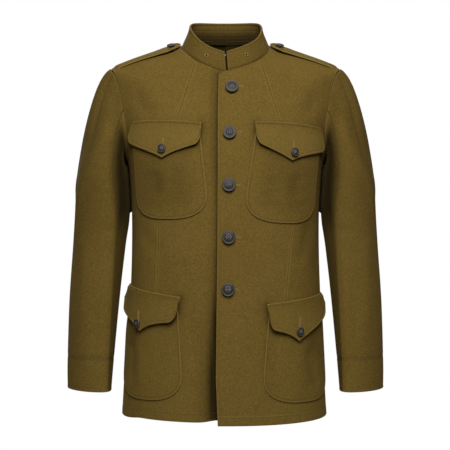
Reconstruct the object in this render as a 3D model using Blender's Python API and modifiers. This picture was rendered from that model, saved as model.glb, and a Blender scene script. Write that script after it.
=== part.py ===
"""A military dress tunic with a standing collar, worn but empty.

Metres, +Z up. The front faces -Y and the wearer's left is +X. The origin is the centre of the
neckline, 5 mm over the side neck points, where the shoulders carry the tunic.

The cloth follows one surface, body(q, t). q counts quarter turns from the centre front through
the wearer's left side (1) to the centre back (2). t counts the rows of BODY from the hem up to
the neckline. Each panel is a wall just under that surface, and each piece sewn on lies over it.
"""
import math

import bmesh
import bpy
import numpy as np
from mathutils import Vector

WALL = 0.0024               # melton of the panels and sleeves
GAP = 0.0003                # clearance between pieces that meet in a seam
CLOTH = (0.125, 0.085, 0.021, 1.0)
METAL = (0.045, 0.038, 0.030, 1.0)

# Rings of the body, hem to neckline. The last rings slope from the shoulder point to the neck.
# front_z  side_z  back_z  half_width  front_depth  back_depth  squareness  shoulder
BODY = np.array((
    (-0.718, -0.714, -0.714, 0.1960, 0.1400, 0.1190, 2.30, 0.000),
    (-0.640, -0.640, -0.640, 0.1920, 0.1410, 0.1140, 2.30, 0.000),
    (-0.560, -0.560, -0.560, 0.1880, 0.1420, 0.1070, 2.30, 0.000),
    (-0.480, -0.480, -0.480, 0.1840, 0.1430, 0.1000, 2.30, 0.000),
    (-0.400, -0.400, -0.400, 0.1815, 0.1435, 0.0965, 2.30, 0.000),
    (-0.325, -0.325, -0.325, 0.1815, 0.1425, 0.1010, 2.32, 0.000),
    (-0.262, -0.262, -0.262, 0.1845, 0.1385, 0.1070, 2.35, 0.000),
    (-0.210, -0.210, -0.210, 0.1900, 0.1315, 0.1120, 2.38, 0.000),
    (-0.166, -0.164, -0.168, 0.1960, 0.1220, 0.1130, 2.34, 0.001),
    (-0.132, -0.120, -0.134, 0.2000, 0.1110, 0.1100, 2.24, 0.006),
    (-0.110, -0.078, -0.103, 0.2000, 0.1028, 0.1040, 2.12, 0.016),
    (-0.102, -0.056, -0.086, 0.1965, 0.0994, 0.1000, 2.06, 0.027),
    (-0.094, -0.046, -0.072, 0.1890, 0.0960, 0.0955, 2.03, 0.032),
    (-0.083, -0.0315, -0.048, 0.1680, 0.0912, 0.0870, 2.00, 0.019),
    (-0.074, -0.0200, -0.026, 0.1420, 0.0868, 0.0795, 2.00, 0.008),
    (-0.066, -0.0110, -0.006, 0.1120, 0.0825, 0.0725, 2.00, 0.002),
    (-0.058, -0.005, 0.0120, 0.0815, 0.0780, 0.0660, 2.00, 0.000),
))
SHOULDER_ROW = 12
NECK_ROW = 16
SHOULDER_TAPER = 5
ARMPIT_ROW = 6.70

# The armhole, every eighth of a turn from the shoulder point forwards, down and up the back.
# row  quarter
ARMHOLE = np.array((
    (SHOULDER_ROW, 1.000),
    (11.3, 0.845),
    (9.40, 0.785),
    (7.75, 0.780),
    (ARMPIT_ROW, 1.000),
    (7.75, 1.235),
    (9.40, 1.235),
    (11.3, 1.170),
))

# Sections of the left sleeve below the armhole. A section's long axis runs from the front crease
# to the elbow side, and its front turns towards the body.
# height  centre_x  centre_y  half_length  half_thickness  turn_in
SLEEVE = np.array((
    (-0.262, 0.2400, 0.004, 0.0720, 0.0505, 12),
    (-0.331, 0.2407, 0.006, 0.0700, 0.0525, 18),
    (-0.391, 0.2462, 0.002, 0.0670, 0.0490, 24),
    (-0.496, 0.2540, -0.014, 0.0640, 0.0445, 30),
    (-0.612, 0.2595, -0.032, 0.0610, 0.0380, 34),
    (-0.662, 0.2605, -0.042, 0.0590, 0.0340, 36),
))
HEM_ROWS = (0, 0.8, 1.7, 2.6, 3.5, 4.3, 5.1, 5.7, 6.25)     # the panels' rows under the armhole
SHOULDER_ROWS = (12.9, 13.9, 15.0, 16.0)                    # and over it
FRONT_LINES = (4, 10)       # lines of points in a front panel's lap and in the rest of it
BACK_LINES = 12

SLEEVE_STEP = 15            # degrees between the lines of points round the sleeve and armhole
FRONT_SEAM = 105            # degrees round the sleeve from its outer side to the forearm seam
HIND_SEAM = 255             # and on to the hind-arm seam
FOREARM_CREASE = (0.05, 8)  # how far the crease stands out, as a share of the length, and its sharpness
HEAD_ROWS = (0, 0.07, 0.16, 0.27, 0.4, 0.55, 0.72, 0.88)
ARM_ROWS = (1, 1.5, 2, 2.5, 3, 3.5, 4, 4.5, 5, 5.5, 6)

# The sleeve head leaves the armhole and falls to the first section. Each pull has a mean, a
# change from underarm to shoulder, and changes at both of these and at the shoulder alone.
LEAVE_PULL = (0.0675, 0.0525, 0.0275, -0.0350)
FALL_PULL = (0.1300, 0.0600, 0.0000, -0.0900)
CAP_ROLL = 0.6              # how far the head turns forwards and back out of the armhole's own slope
CAP_SPREAD = 0.3            # how far it turns outwards in front and behind
CAP_RISE = 0.5              # how far it turns up at the shoulder
CAP_FULLNESS = 0.009        # how far it stands out in front and behind
SEAM_FOLD = 0.006           # how far the underarm folds out over the side seam

# The free edge of the left front, which laps over the right front.
# height  edge_x
LAP_EDGE = np.array((
    (-0.719, -0.0120),
    (-0.632, -0.0155),
    (-0.340, -0.0125),
    (-0.143, -0.0113),
    (-0.058, -0.0090),
))
UNDERLAP = 0.025            # reach of the right front past the centre, under the left
LAP_SHARE = 0.16            # of a front panel's width, drawn with lines of points closer together
LAP_SINK = WALL + 0.0010    # depth of the right front under the left
LAP_SINK_RUN = (0.018, 0.032)   # distance from the centre where the right front comes up again
RIGHT_HEM_RISE = (0.0095, 0.0060)   # the right front hangs higher, most at its free edge
RIGHT_HEM_RUN = (0.060, 0.040)      # reach of each rise from the centre and from the side
NECK_DIP = (0.75, 0.012)    # rows that the neck corner drops, and the distance that it takes

# Collar band. It rises from the neckline to this ring.
COLLAR_TOP = np.array((-0.0190, 0.0365, 0.0548, 0.0685, 0.0630, 0.0610, 2.00, 0.000))
COLLAR_WALL = 0.0030
COLLAR_ENDS = (0.0035, 0.0008)   # x of the left and right ends at the centre front
COLLAR_LINES = 37
COLLAR_ROWS = (0.01, 0.34, 0.68, 1.0)
NECK_TAPE = (0.0045, 0.0125)     # inside heights above the neckline
TAPE_LINES = slice(7, 30)        # the tape lies along these of the collar's lines
TAPE_WALL = 0.0010

# Patch pockets, in metres along the cloth from the centre front and up. The lower edge is half
# of a squared ellipse, as high as round. It hangs lower on the outer side by tilt.
# side  top_inner  top_outer  low_inner  low_outer  top_inner_z  top_outer_z  bottom_z  round  tilt
POCKETS = {
    "pocket_breast_right": (-1, 0.047, 0.193, 0.028, 0.191, -0.172, -0.168, -0.3385, 0.058, 0.000),
    "pocket_breast_left": (1, 0.056, 0.203, 0.0295, 0.191, -0.172, -0.178, -0.3460, 0.058, 0.006),
    "pocket_skirt_right": (-1, 0.088, 0.238, 0.077, 0.247, -0.493, -0.485, -0.6750, 0.060, 0.000),
    "pocket_skirt_left": (1, 0.080, 0.236, 0.065, 0.245, -0.506, -0.492, -0.6790, 0.060, 0.000),
}
POCKET_SQUARE = 2.7         # exponent of the ellipse
POCKET_WALL = 0.0018
POCKET_LINES = 15
POCKET_ROWS = 8

# Pocket flaps with a pointed lower edge. Each half of the edge sweeps down to the point, in a
# straight line for 0.
# side  inner  outer  inner_z  outer_z  inner_depth  outer_depth  point_depth  point_share
# flare  corner  inner_sweep  outer_sweep
FLAPS = {
    "flap_breast_right": (-1, 0.0445, 0.1850, -0.1600, -0.1530, 0.040, 0.040, 0.069, 0.49,
                          0.014, 0.012, 0.45, 0.10),
    "flap_breast_left": (1, 0.0548, 0.1950, -0.1580, -0.1645, 0.040, 0.045, 0.069, 0.50,
                         0.014, 0.012, 0.10, 0.45),
    "flap_skirt_right": (-1, 0.0840, 0.2400, -0.4810, -0.4610, 0.046, 0.046, 0.077, 0.53,
                         0.010, 0.020, 0.45, 0.30),
    "flap_skirt_left": (1, 0.0770, 0.2360, -0.4940, -0.4720, 0.046, 0.046, 0.080, 0.41,
                        0.006, 0.018, 0.45, 0.10),
}
FLAP_WALL = 0.0024
SEWN_LIFT = 0.0008          # a sewn edge over the cloth under it
FLAP_CLEAR = 0.0008         # a flap over its pocket
FLAP_RISE_RUN = (0.001, 0.008)     # depth at which a flap rises over its pocket's edge
FLAP_STAND = {"breast": 0.0015, "skirt": 0.0040}   # more lift at a flap's lower edge
FLAP_SWEEP = 2.6            # sharpness of the sweep down to the point
FLAP_LINES = 13
FLAP_ROWS = (0, 0.14, 0.4, 0.7, 1.0)

# Shoulder straps, from the sleeve seam to a pointed end beside the collar.
STRAP_ROWS = (12.04, 15.88)
STRAP_HALF_WIDTHS = (0.0245, 0.0195)
STRAP_POINT = 0.144         # share of the length that the point takes
STRAP_SHARES = (0, 0.14, 0.3, 0.46, 0.62, 0.76, 0.86, 0.94, 1.0)
STRAP_LINES = 7
STRAP_WALL = 0.0030
STRAP_STAND = 0.0045        # the pointed end stands this much further off the shoulder

# Front buttons, by their distance from the centre and their height.
FRONT_BUTTONS = (
    (0.0121, -0.0921),
    (0.0075, -0.1789),
    (0.0063, -0.2757),
    (0.0059, -0.3713),
    (0.0049, -0.4666),
)
# Flap buttons, by their distance along the cloth from the centre front and their height.
FLAP_BUTTONS = {
    "flap_breast_right": (0.1160, -0.2085),
    "flap_breast_left": (0.1270, -0.2150),
    "flap_skirt_right": (0.1705, -0.5330),
    "flap_skirt_left": (0.1380, -0.5460),
}
STRAP_BUTTON_ROW = 15.30
FRONT_BUTTON = 0.0248       # diameters
SMALL_BUTTON = 0.0165
SHANK = 0.0022              # height of the shank
BUTTON_THICKNESS = 0.24     # of the head, as a share of the diameter
BUTTON_STEPS = 12
# A button's profile from its face round to its shank, in shares of the radius and of the thickness.
BUTTON_PROFILE = ((0, 1), (0.45, 0.93), (0.82, 0.72), (1, 0.45), (0.94, 0.12), (0.30, 0))
SHANK_RADIUS = 0.24         # share of the button's radius

HOOK_WIRE = 0.0005          # radius of the collar's hook and eye
HOOK_RISE = 0.84            # their height in the collar, as a share of it
HOOK_TAIL = 0.0085          # length of the wire sewn to each end of the collar
EYE_START = 0.0012          # the eye's round end starts this far right of the centre
EYE_REACH = 0.0016          # and reaches this far from there
EYE_HALF_HEIGHT = 0.045     # share of the collar's height
HOOK_BEND = 0.0004          # half the width of the hook's bend


def along(table, row):
    """Columns of a table at a fractional row, on a smooth curve through its rows."""
    last = len(table) - 1
    row = np.clip(np.asarray(row, float), 0, last)
    start = np.minimum(row.astype(int), last - 1)
    share = (row - start)[..., None]
    here, ahead = table[start], table[start + 1]
    before = np.where(start[..., None] > 0, table[np.maximum(start - 1, 0)], 2 * here - ahead)
    beyond = np.where(start[..., None] < last - 1, table[np.minimum(start + 2, last)], 2 * ahead - here)
    bend = 2 * before - 5 * here + 4 * ahead - beyond
    swing = 3 * (here - ahead) + beyond - before
    return here + share / 2 * (ahead - before + share * (bend + share * swing))


def ring(q, columns):
    """Point q quarter turns round a level or sloping ring, drawn out sideways at the shoulder."""
    front_z, side_z, back_z, half_width, front_depth, back_depth, square, drawn = np.moveaxis(columns, -1, 0)
    angle = q * math.pi / 2
    across, forward = np.sin(angle), np.cos(angle)
    reach = (np.abs(across) ** square + np.abs(forward) ** square) ** (-1 / square)
    middle = (front_z + back_z) / 2
    z = (middle + side_z) / 2 + (front_z - back_z) / 2 * forward + (middle - side_z) / 2 * np.cos(2 * angle)
    depth = np.where(forward > 0, front_depth, back_depth)
    width = half_width * reach + drawn * np.abs(across) ** SHOULDER_TAPER
    return np.stack((width * across, -depth * reach * forward, z), -1)


def body(q, t):
    q, t = np.broadcast_arrays(np.asarray(q, float), np.asarray(t, float))
    return ring(q, along(BODY, t))


def unit(vectors):
    return vectors / np.linalg.norm(vectors, axis=-1, keepdims=True)


def normals(surface, a, b, step=1e-3, low=0.0, high=NECK_ROW):
    """Outward unit normals of surface(a, b)."""
    a, b = np.broadcast_arrays(np.asarray(a, float), np.asarray(b, float))
    along_a = surface(a + step, b) - surface(a - step, b)
    along_b = surface(a, np.minimum(b + step, high)) - surface(a, np.maximum(b - step, low))
    return unit(np.cross(along_a, along_b))


def speed(q, t, step=1e-3):
    """Metres of cloth for each quarter turn."""
    return np.linalg.norm(body(q + step, t) - body(q - step, t), axis=-1) / (2 * step)


ARC_Q = np.linspace(-1.9, 1.9, 381)
ARC_T = np.linspace(0, NECK_ROW, 321)
ARC_STEPS = np.linalg.norm(np.diff(body(ARC_Q[None], ARC_T[:, None]), axis=1), axis=-1)
ARC = np.concatenate((np.zeros((len(ARC_T), 1)), np.cumsum(ARC_STEPS, axis=1)), axis=1)
ARC -= ARC[:, [len(ARC_Q) // 2]]


def arc(q, t):
    """Metres along the ring from the centre front."""
    column = np.clip((q - ARC_Q[0]) / (ARC_Q[1] - ARC_Q[0]), 0, len(ARC_Q) - 1.001)
    row = np.clip(t / (ARC_T[1] - ARC_T[0]), 0, len(ARC_T) - 1.001)
    i, j = column.astype(int), row.astype(int)
    x, y = column - i, row - j
    low = ARC[j, i] * (1 - x) + ARC[j, i + 1] * x
    return low * (1 - y) + (ARC[j + 1, i] * (1 - x) + ARC[j + 1, i + 1] * x) * y


def find(s, z):
    """Surface coordinates of the point s along the cloth from the centre front, at height z."""
    s, z = np.broadcast_arrays(np.asarray(s, float), np.asarray(z, float))
    q = s / 0.27
    t = np.interp(z, BODY[:, 1], np.arange(len(BODY)))
    for _ in range(25):
        rise = (body(q, t + 1e-3)[..., 2] - body(q, t - 1e-3)[..., 2]) / 2e-3
        t = np.clip(t + (z - body(q, t)[..., 2]) / rise, 0, NECK_ROW)
        q = np.clip(q + (s - arc(q, t)) / speed(q, t), -1.85, 1.85)
    return q, t


def on_body(s, z, lift):
    q, t = find(s, z)
    return body(q, t) + np.asarray(lift)[..., None] * normals(body, q, t)


def ease(x):
    x = np.clip(x, 0, 1)
    return x * x * (3 - 2 * x)


def material(name, colour, roughness, metallic):
    made = bpy.data.materials.new(name)
    made.use_nodes = True
    shader = made.node_tree.nodes["Principled BSDF"]
    shader.inputs["Base Color"].default_value = colour
    shader.inputs["Roughness"].default_value = roughness
    shader.inputs["Metallic"].default_value = metallic
    return made


def finish(name, data, paint):
    made = bpy.data.objects.new(name, data)
    bpy.data.collections["military_dress_tunic"].objects.link(made)
    data.materials.append(paint)
    return made


def parted(skin):
    """Draw a skin's four edges in by half a seam's clearance."""
    skin = skin.copy()
    for edge, inside in ((np.s_[:, 0], np.s_[:, 1]), (np.s_[:, -1], np.s_[:, -2]),
                         (np.s_[0], np.s_[1]), (np.s_[-1], np.s_[-2])):
        skin[edge] += GAP / 2 * unit(skin[inside] - skin[edge])
    return skin


def wall(name, outer, inner, paint):
    """A closed wall of cloth between two skins of the same rows and columns."""
    rows, columns = outer.shape[:2]
    cloth = bmesh.new()
    skins = [[[cloth.verts.new(point) for point in row] for row in parted(skin)] for skin in (outer, inner)]
    for skin in skins:
        for j in range(rows - 1):
            for i in range(columns - 1):
                cloth.faces.new((skin[j][i], skin[j][i + 1], skin[j + 1][i + 1], skin[j + 1][i]))
    rim = ([(0, i) for i in range(columns)] + [(j, columns - 1) for j in range(1, rows)]
           + [(rows - 1, i) for i in range(columns - 2, -1, -1)] + [(j, 0) for j in range(rows - 2, 0, -1)])
    for (j, i), (m, k) in zip(rim, rim[1:] + rim[:1]):
        cloth.faces.new((skins[0][j][i], skins[0][m][k], skins[1][m][k], skins[1][j][i]))
    bmesh.ops.recalc_face_normals(cloth, faces=cloth.faces)
    bmesh.ops.triangulate(cloth, faces=cloth.faces, quad_method="SHORT_EDGE")
    data = bpy.data.meshes.new(name)
    cloth.to_mesh(data)
    cloth.free()
    return finish(name, data, paint)


def armhole(turn):
    """Row and quarter of the armhole's edge, turn eighths from the shoulder point."""
    turn = np.asarray(turn, float)
    closed = np.concatenate((ARMHOLE[-1:], ARMHOLE, ARMHOLE[:2]))
    found = along(closed, turn % 8 + 1)
    return found[..., 0], found[..., 1]


def panel_rows(back):
    """Rows of a panel, and the quarter that its outer edge reaches on each."""
    climb = 4 * np.linspace(0, 1, 180 // SLEEVE_STEP + 1)
    rows, quarters = armhole(4 + climb if back else 4 - climb)
    rows[0], rows[-1] = ARMPIT_ROW, SHOULDER_ROW
    quarters[0] = quarters[-1] = 1.0
    rows = np.concatenate((HEM_ROWS, rows, SHOULDER_ROWS))
    edge = np.concatenate((np.ones(len(HEM_ROWS)), quarters, np.ones(len(SHOULDER_ROWS))))
    return rows, edge


def lap_edge(t):
    return np.interp(body(0.0, t)[..., 2], LAP_EDGE[:, 0], LAP_EDGE[:, 1])


def front(name, side, paint):
    """A front panel, from its free edge past the centre to the side, armhole and shoulder."""
    rows, edge = panel_rows(back=False)
    start = (lap_edge(rows) if side > 0 else -UNDERLAP) / speed(0.0, rows)
    in_lap, beyond = FRONT_LINES
    shares = np.concatenate((np.linspace(0, LAP_SHARE, in_lap), np.linspace(LAP_SHARE, 1, beyond)[1:]))
    q = start[:, None] + (edge - start)[:, None] * shares
    t = np.repeat(rows[:, None], len(shares), axis=1)
    x = body(q, t)[..., 0]
    dip, dip_run = NECK_DIP
    t = np.where(t == NECK_ROW, t - dip * ease(-x / dip_run), t)
    q = side * np.where(x < 0, q * speed(0.0, rows[:, None]) / speed(0.0, t), q)
    points, out = body(q, t), normals(body, q, t)
    if side < 0:
        sunk, level = LAP_SINK_RUN
        points = points - (LAP_SINK * ease((level - x) / (level - sunk)))[..., None] * out
        edge_rise, side_rise = RIGHT_HEM_RISE
        edge_run, side_run = RIGHT_HEM_RUN
        rise = side_rise + (edge_rise - side_rise) * ease((edge_run - x[0]) / edge_run)
        points[0, :, 2] += rise * ease((body(1.0, 0.0)[0] - x[0]) / side_run)
    return wall(name, points, points - WALL * out, paint)


def back(name, side, paint):
    rows, edge = panel_rows(back=True)
    shares = np.linspace(0, 1, BACK_LINES)
    q = side * (edge[:, None] + (2 - edge)[:, None] * shares)
    t = np.repeat(rows[:, None], len(shares), axis=1)
    points, out = body(q, t), normals(body, q, t)
    return wall(name, points, points - WALL * out, paint)


def section(turn, row):
    """Left sleeve below its head: turn in degrees from the outer side, forwards."""
    height, x, y, length, thickness, turn_in = np.moveaxis(along(SLEEVE, row), -1, 0)
    angle, swing = np.radians(turn), np.radians(turn_in)
    crease, sharpness = FOREARM_CREASE
    out = thickness * np.cos(angle)
    forward = length * (np.sin(angle) + crease * np.maximum(np.sin(angle), 0) ** sharpness)
    return np.stack((x + out * np.cos(swing) - forward * np.sin(swing),
                     y - out * np.sin(swing) - forward * np.cos(swing), height + 0 * out), -1)


def armhole_edge(turn):
    t, q = armhole(turn / 45)
    return body(q, t), normals(body, q, t)


def sleeve(turn, row):
    """Left sleeve: row 0 is the armhole seam, row 1 the upper arm, later rows the sections."""
    turn, row = np.broadcast_arrays(np.asarray(turn, float), np.asarray(row, float))
    seam, out = armhole_edge(turn)
    run = armhole_edge(turn + 0.5)[0] - armhole_edge(turn - 0.5)[0]
    top, forwards = np.cos(np.radians(turn)), -np.sin(np.radians(turn))
    shoulder = np.maximum(top, 0) ** 2
    turned = np.stack((CAP_SPREAD * np.abs(forwards), CAP_ROLL * forwards, CAP_RISE * shoulder), -1)
    leave = unit(unit(np.cross(out, run)) + turned)
    arm = section(turn, np.zeros_like(row))
    fall = unit(section(turn, np.full_like(row, 0.05)) - arm)
    changes = np.stack((np.ones_like(top), top, np.cos(np.radians(2 * turn)), shoulder), -1)
    leave_pull, fall_pull = (changes @ np.array(pull) for pull in (LEAVE_PULL, FALL_PULL))
    u = np.clip(row, 0, 1)[..., None]
    head = ((1 + 2 * u) * (1 - u) ** 2 * seam + u * (1 - u) ** 2 * leave_pull[..., None] * leave
            + u * u * (3 - 2 * u) * arm - u * u * (1 - u) * fall_pull[..., None] * fall)
    fold = SEAM_FOLD * np.maximum(-top, 0) ** 2
    full = CAP_FULLNESS * np.abs(forwards) * forwards
    head = head + 16 * (u * (1 - u)) ** 2 * np.stack((fold, full, 0 * top), -1)
    lower = section(turn, np.maximum(row - 1, 0))
    return np.where(row[..., None] <= 1, head, lower)


def sleeve_piece(name, side, first, last, paint):
    turns = np.arange(first, last + 1, SLEEVE_STEP)[None]
    rows = np.array(HEAD_ROWS + ARM_ROWS)[:, None]
    turns, rows = np.broadcast_arrays(turns, rows)
    points = sleeve(turns, rows)
    out = normals(sleeve, turns, rows, high=ARM_ROWS[-1])
    out[0] = armhole_edge(turns[0].astype(float))[1]
    mirror = np.array((side, 1, 1))
    return wall(name, mirror * points, mirror * (points - WALL * out), paint)


def collar_columns():
    left = COLLAR_ENDS[0] / speed(0.0, NECK_ROW)
    right = 4 + COLLAR_ENDS[1] / speed(0.0, NECK_ROW)
    return np.linspace(left, right, COLLAR_LINES)


def collar(name, paint):
    q, rise = np.meshgrid(collar_columns(), np.array(COLLAR_ROWS))
    points = collar_surface(q, rise)
    out = normals(collar_surface, q, rise, high=1.0)
    return wall(name, points, points - COLLAR_WALL * out, paint)


def collar_surface(q, rise):
    rise = np.asarray(rise, float)[..., None]
    base = ring(q, np.broadcast_to(BODY[-1], np.shape(q) + (8,)))
    top = ring(q, np.broadcast_to(COLLAR_TOP, np.shape(q) + (8,)))
    return base + (top - base) * rise + np.array((0, 0, GAP))


def neck_tape(name, paint):
    """The tape inside the back of the neck, over the collar seam."""
    q, height = np.meshgrid(collar_columns()[TAPE_LINES], np.array(NECK_TAPE))
    base, top = collar_surface(q, 0 * q), collar_surface(q, 0 * q + 1)
    rise = height / np.linalg.norm(top - base, axis=-1)
    out = normals(collar_surface, q, rise, high=1.0)
    points = collar_surface(q, rise) - (COLLAR_WALL + GAP) * out
    return wall(name, points, points - TAPE_WALL * out, paint)


def patch_pocket(name, paint):
    side, top_in, top_out, low_in, low_out, top_in_z, top_out_z, bottom, height, tilt = POCKETS[name]
    across = -np.cos(np.linspace(0, math.pi, POCKET_LINES))
    u, v = np.meshgrid((across + 1) / 2, np.linspace(0, 1, POCKET_ROWS))
    rounded = height * (1 - (1 - np.abs(across) ** POCKET_SQUARE) ** (1 / POCKET_SQUARE))
    top = top_in_z + (top_out_z - top_in_z) * u
    z = top + (bottom + rounded - tilt / 2 * across - top) * v
    fall = (top - z) / (top - bottom)
    inner, outer = top_in + (low_in - top_in) * fall, top_out + (low_out - top_out) * fall
    s = side * (inner + (outer - inner) * u)
    lift = np.full_like(s, SEWN_LIFT)
    return wall(name, on_body(s, z, lift + POCKET_WALL), on_body(s, z, lift), paint)


def flap_outline(name):
    """Shares across a flap and its depth there: round corners and a pointed middle."""
    _, inner, outer, _, _, inner_depth, outer_depth, point_depth, point, _, corner, *sweeps = FLAPS[name]
    cut = corner / (outer - inner)
    ends = cut * (1 - np.cos(np.linspace(0, math.pi / 2, 3)))
    rise = np.concatenate((ends, np.linspace(cut, 1, FLAP_LINES // 2 - 1)[1:]))
    rounded = corner * (1 - np.sqrt(1 - np.clip(1 - rise / cut, 0, 1) ** 2))
    halves = []
    for end_depth, sweep in zip((inner_depth, outer_depth), sweeps):
        fall = (1 - sweep) * rise + sweep * rise ** FLAP_SWEEP
        halves.append(end_depth + (point_depth - end_depth) * fall - rounded)
    across = np.concatenate((rise * point, 1 - rise[-2::-1] * (1 - point)))
    return across, np.concatenate((halves[0], halves[1][-2::-1]))


def flap_points(name, u, v, depth):
    side, inner, outer, inner_z, outer_z, _, _, _, _, flare, *_ = FLAPS[name]
    s = inner + (outer - inner) * u + flare * v * ease((u - 0.45) / 0.55)
    z = inner_z + (outer_z - inner_z) * u - depth * v
    return side * s, z


def flap_lift(name, v, depth):
    start, end = FLAP_RISE_RUN
    over = ease((v * depth - start) / (end - start))
    stand = FLAP_STAND["breast" if "breast" in name else "skirt"]
    return SEWN_LIFT + (POCKET_WALL + FLAP_CLEAR) * over + stand * v ** 2


def flap(name, paint):
    u, depth = flap_outline(name)
    u, v = np.meshgrid(u, np.array(FLAP_ROWS))
    depth = np.broadcast_to(depth, u.shape)
    s, z = flap_points(name, u, v, depth)
    lift = flap_lift(name, v, depth)
    return wall(name, on_body(s, z, lift + FLAP_WALL), on_body(s, z, lift), paint)


def strap_lift(share):
    return SEWN_LIFT + STRAP_STAND * ease(share) ** 1.5


def shoulder_strap(name, side, paint):
    share, across = np.meshgrid(np.array(STRAP_SHARES), np.linspace(-1, 1, STRAP_LINES), indexing="ij")
    cut_back = STRAP_POINT * across ** 2 * ease(2 * share - 1)
    t = STRAP_ROWS[0] + (STRAP_ROWS[1] - STRAP_ROWS[0]) * (share - cut_back)
    width = STRAP_HALF_WIDTHS[0] + (STRAP_HALF_WIDTHS[1] - STRAP_HALF_WIDTHS[0]) * share
    q = side * (1 - across * width / speed(1.0, t))
    points, out = body(q, t), normals(body, q, t)
    lift = strap_lift(share)[..., None]
    return wall(name, points + (lift + STRAP_WALL) * out, points + lift * out, paint)


def button(name, diameter, place, out, paint):
    """A domed button turned about its axis, its shank's end resting over place."""
    radius, thick = diameter / 2, BUTTON_THICKNESS * diameter
    profile = [(r * radius, SHANK + z * thick) for r, z in BUTTON_PROFILE]
    profile += [(SHANK_RADIUS * radius, 0), (0, 0)]
    data = bpy.data.meshes.new(name)
    data.from_pydata([(r, 0, z) for r, z in profile], [(i, i + 1) for i in range(len(profile) - 1)], [])
    made = finish(name, data, paint)
    turn = made.modifiers.new("turn", "SCREW")
    turn.steps = turn.render_steps = BUTTON_STEPS
    turn.use_merge_vertices = True
    turn.merge_threshold = 0.00001
    out = Vector(out)
    made.rotation_euler = out.to_track_quat("Z", "Y").to_euler()
    made.location = Vector(place) + GAP * out
    return made


def wire(name, points, paint):
    data = bpy.data.curves.new(name, "CURVE")
    data.dimensions = "3D"
    data.bevel_depth = HOOK_WIRE
    data.bevel_resolution = 1
    data.use_fill_caps = True
    line = data.splines.new("POLY")
    line.points.add(len(points) - 1)
    for spot, point in zip(line.points, points):
        spot.co = (*point, 1)
    return finish(name, data, paint)


def hook_and_eye(paint):
    """A wire hook on the left end of the collar, round the bar of an eye on the right end."""
    def inside(x, rise, deep):
        q = np.array([x / speed(0.0, NECK_ROW)])
        rise = np.array([rise])
        out = normals(collar_surface, q, rise, high=1.0)
        return (collar_surface(q, rise) - (COLLAR_WALL + GAP + HOOK_WIRE + deep) * out)[0]

    eye = [inside(-HOOK_TAIL, HOOK_RISE + EYE_HALF_HEIGHT, 0)]
    for angle in np.linspace(0, math.pi, 7):
        rise = HOOK_RISE + EYE_HALF_HEIGHT * math.cos(angle)
        eye.append(inside(EYE_REACH * math.sin(angle) - EYE_START, rise, 0))
    eye.append(inside(-HOOK_TAIL, HOOK_RISE - EYE_HALF_HEIGHT, 0))
    wire("collar_eye", eye, paint)
    over = 2 * HOOK_WIRE + GAP
    middle = EYE_REACH - EYE_START - over
    hook = [inside(HOOK_TAIL, HOOK_RISE, over), inside(middle + HOOK_BEND, HOOK_RISE, over),
            inside(middle - HOOK_BEND, HOOK_RISE, 0.6 * over), inside(middle - HOOK_BEND, HOOK_RISE, 0)]
    wire("collar_hook", hook, paint)


def build():
    for old in list(bpy.data.objects):
        bpy.data.objects.remove(old, do_unlink=True)
    group = bpy.data.collections.new("military_dress_tunic")
    bpy.context.scene.collection.children.link(group)
    wool = material("wool_cloth", CLOTH, 0.92, 0.0)
    bronze = material("dark_bronze", METAL, 0.45, 0.9)
    for side, word in ((1, "left"), (-1, "right")):
        front("front_" + word, side, wool)
        back("back_" + word, side, wool)
        sleeve_piece(f"sleeve_{word}_top", side, HIND_SEAM - 360, FRONT_SEAM, wool)
        sleeve_piece(f"sleeve_{word}_under", side, FRONT_SEAM, HIND_SEAM, wool)
        shoulder_strap("shoulder_strap_" + word, side, wool)
        share = (STRAP_BUTTON_ROW - STRAP_ROWS[0]) / (STRAP_ROWS[1] - STRAP_ROWS[0])
        out = normals(body, side * 1.0, STRAP_BUTTON_ROW)
        place = body(side * 1.0, STRAP_BUTTON_ROW) + (strap_lift(share) + STRAP_WALL) * out
        button("button_strap_" + word, SMALL_BUTTON, place, out, bronze)
    collar("collar", wool)
    neck_tape("neck_tape", wool)
    for name in POCKETS:
        patch_pocket(name, wool)
    for name, (s, z) in FLAP_BUTTONS.items():
        flap(name, wool)
        side, inner, outer, inner_z, outer_z, *_ = FLAPS[name]
        q, t = find(side * s, z)
        u = (s - inner) / (outer - inner)
        depth = np.interp(u, *flap_outline(name))
        lift = flap_lift(name, (inner_z + (outer_z - inner_z) * u - z) / depth, depth) + FLAP_WALL
        out = normals(body, q, t)
        button(name.replace("flap", "button"), SMALL_BUTTON, body(q, t) + lift * out, out, bronze)
    for number, (x, z) in enumerate(FRONT_BUTTONS, 1):
        q, t = find(x, z)
        out = normals(body, q, t)
        button(f"button_front_{number}", FRONT_BUTTON, body(q, t), out, bronze)
    hook_and_eye(bronze)


build()
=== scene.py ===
"""The look of a military dress tunic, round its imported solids.

Metres, +Z up. The front faces -Y and the wearer's left is +X. The cloth follows the surface of
the CAD model, body(q, t), with soft creases laid on it. q counts quarter turns from the centre
front through the wearer's left side (1) to the centre back (2), t the rows of BODY from the hem
up to the neckline, and s the metres along the cloth from the centre front.
"""
import math

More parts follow.
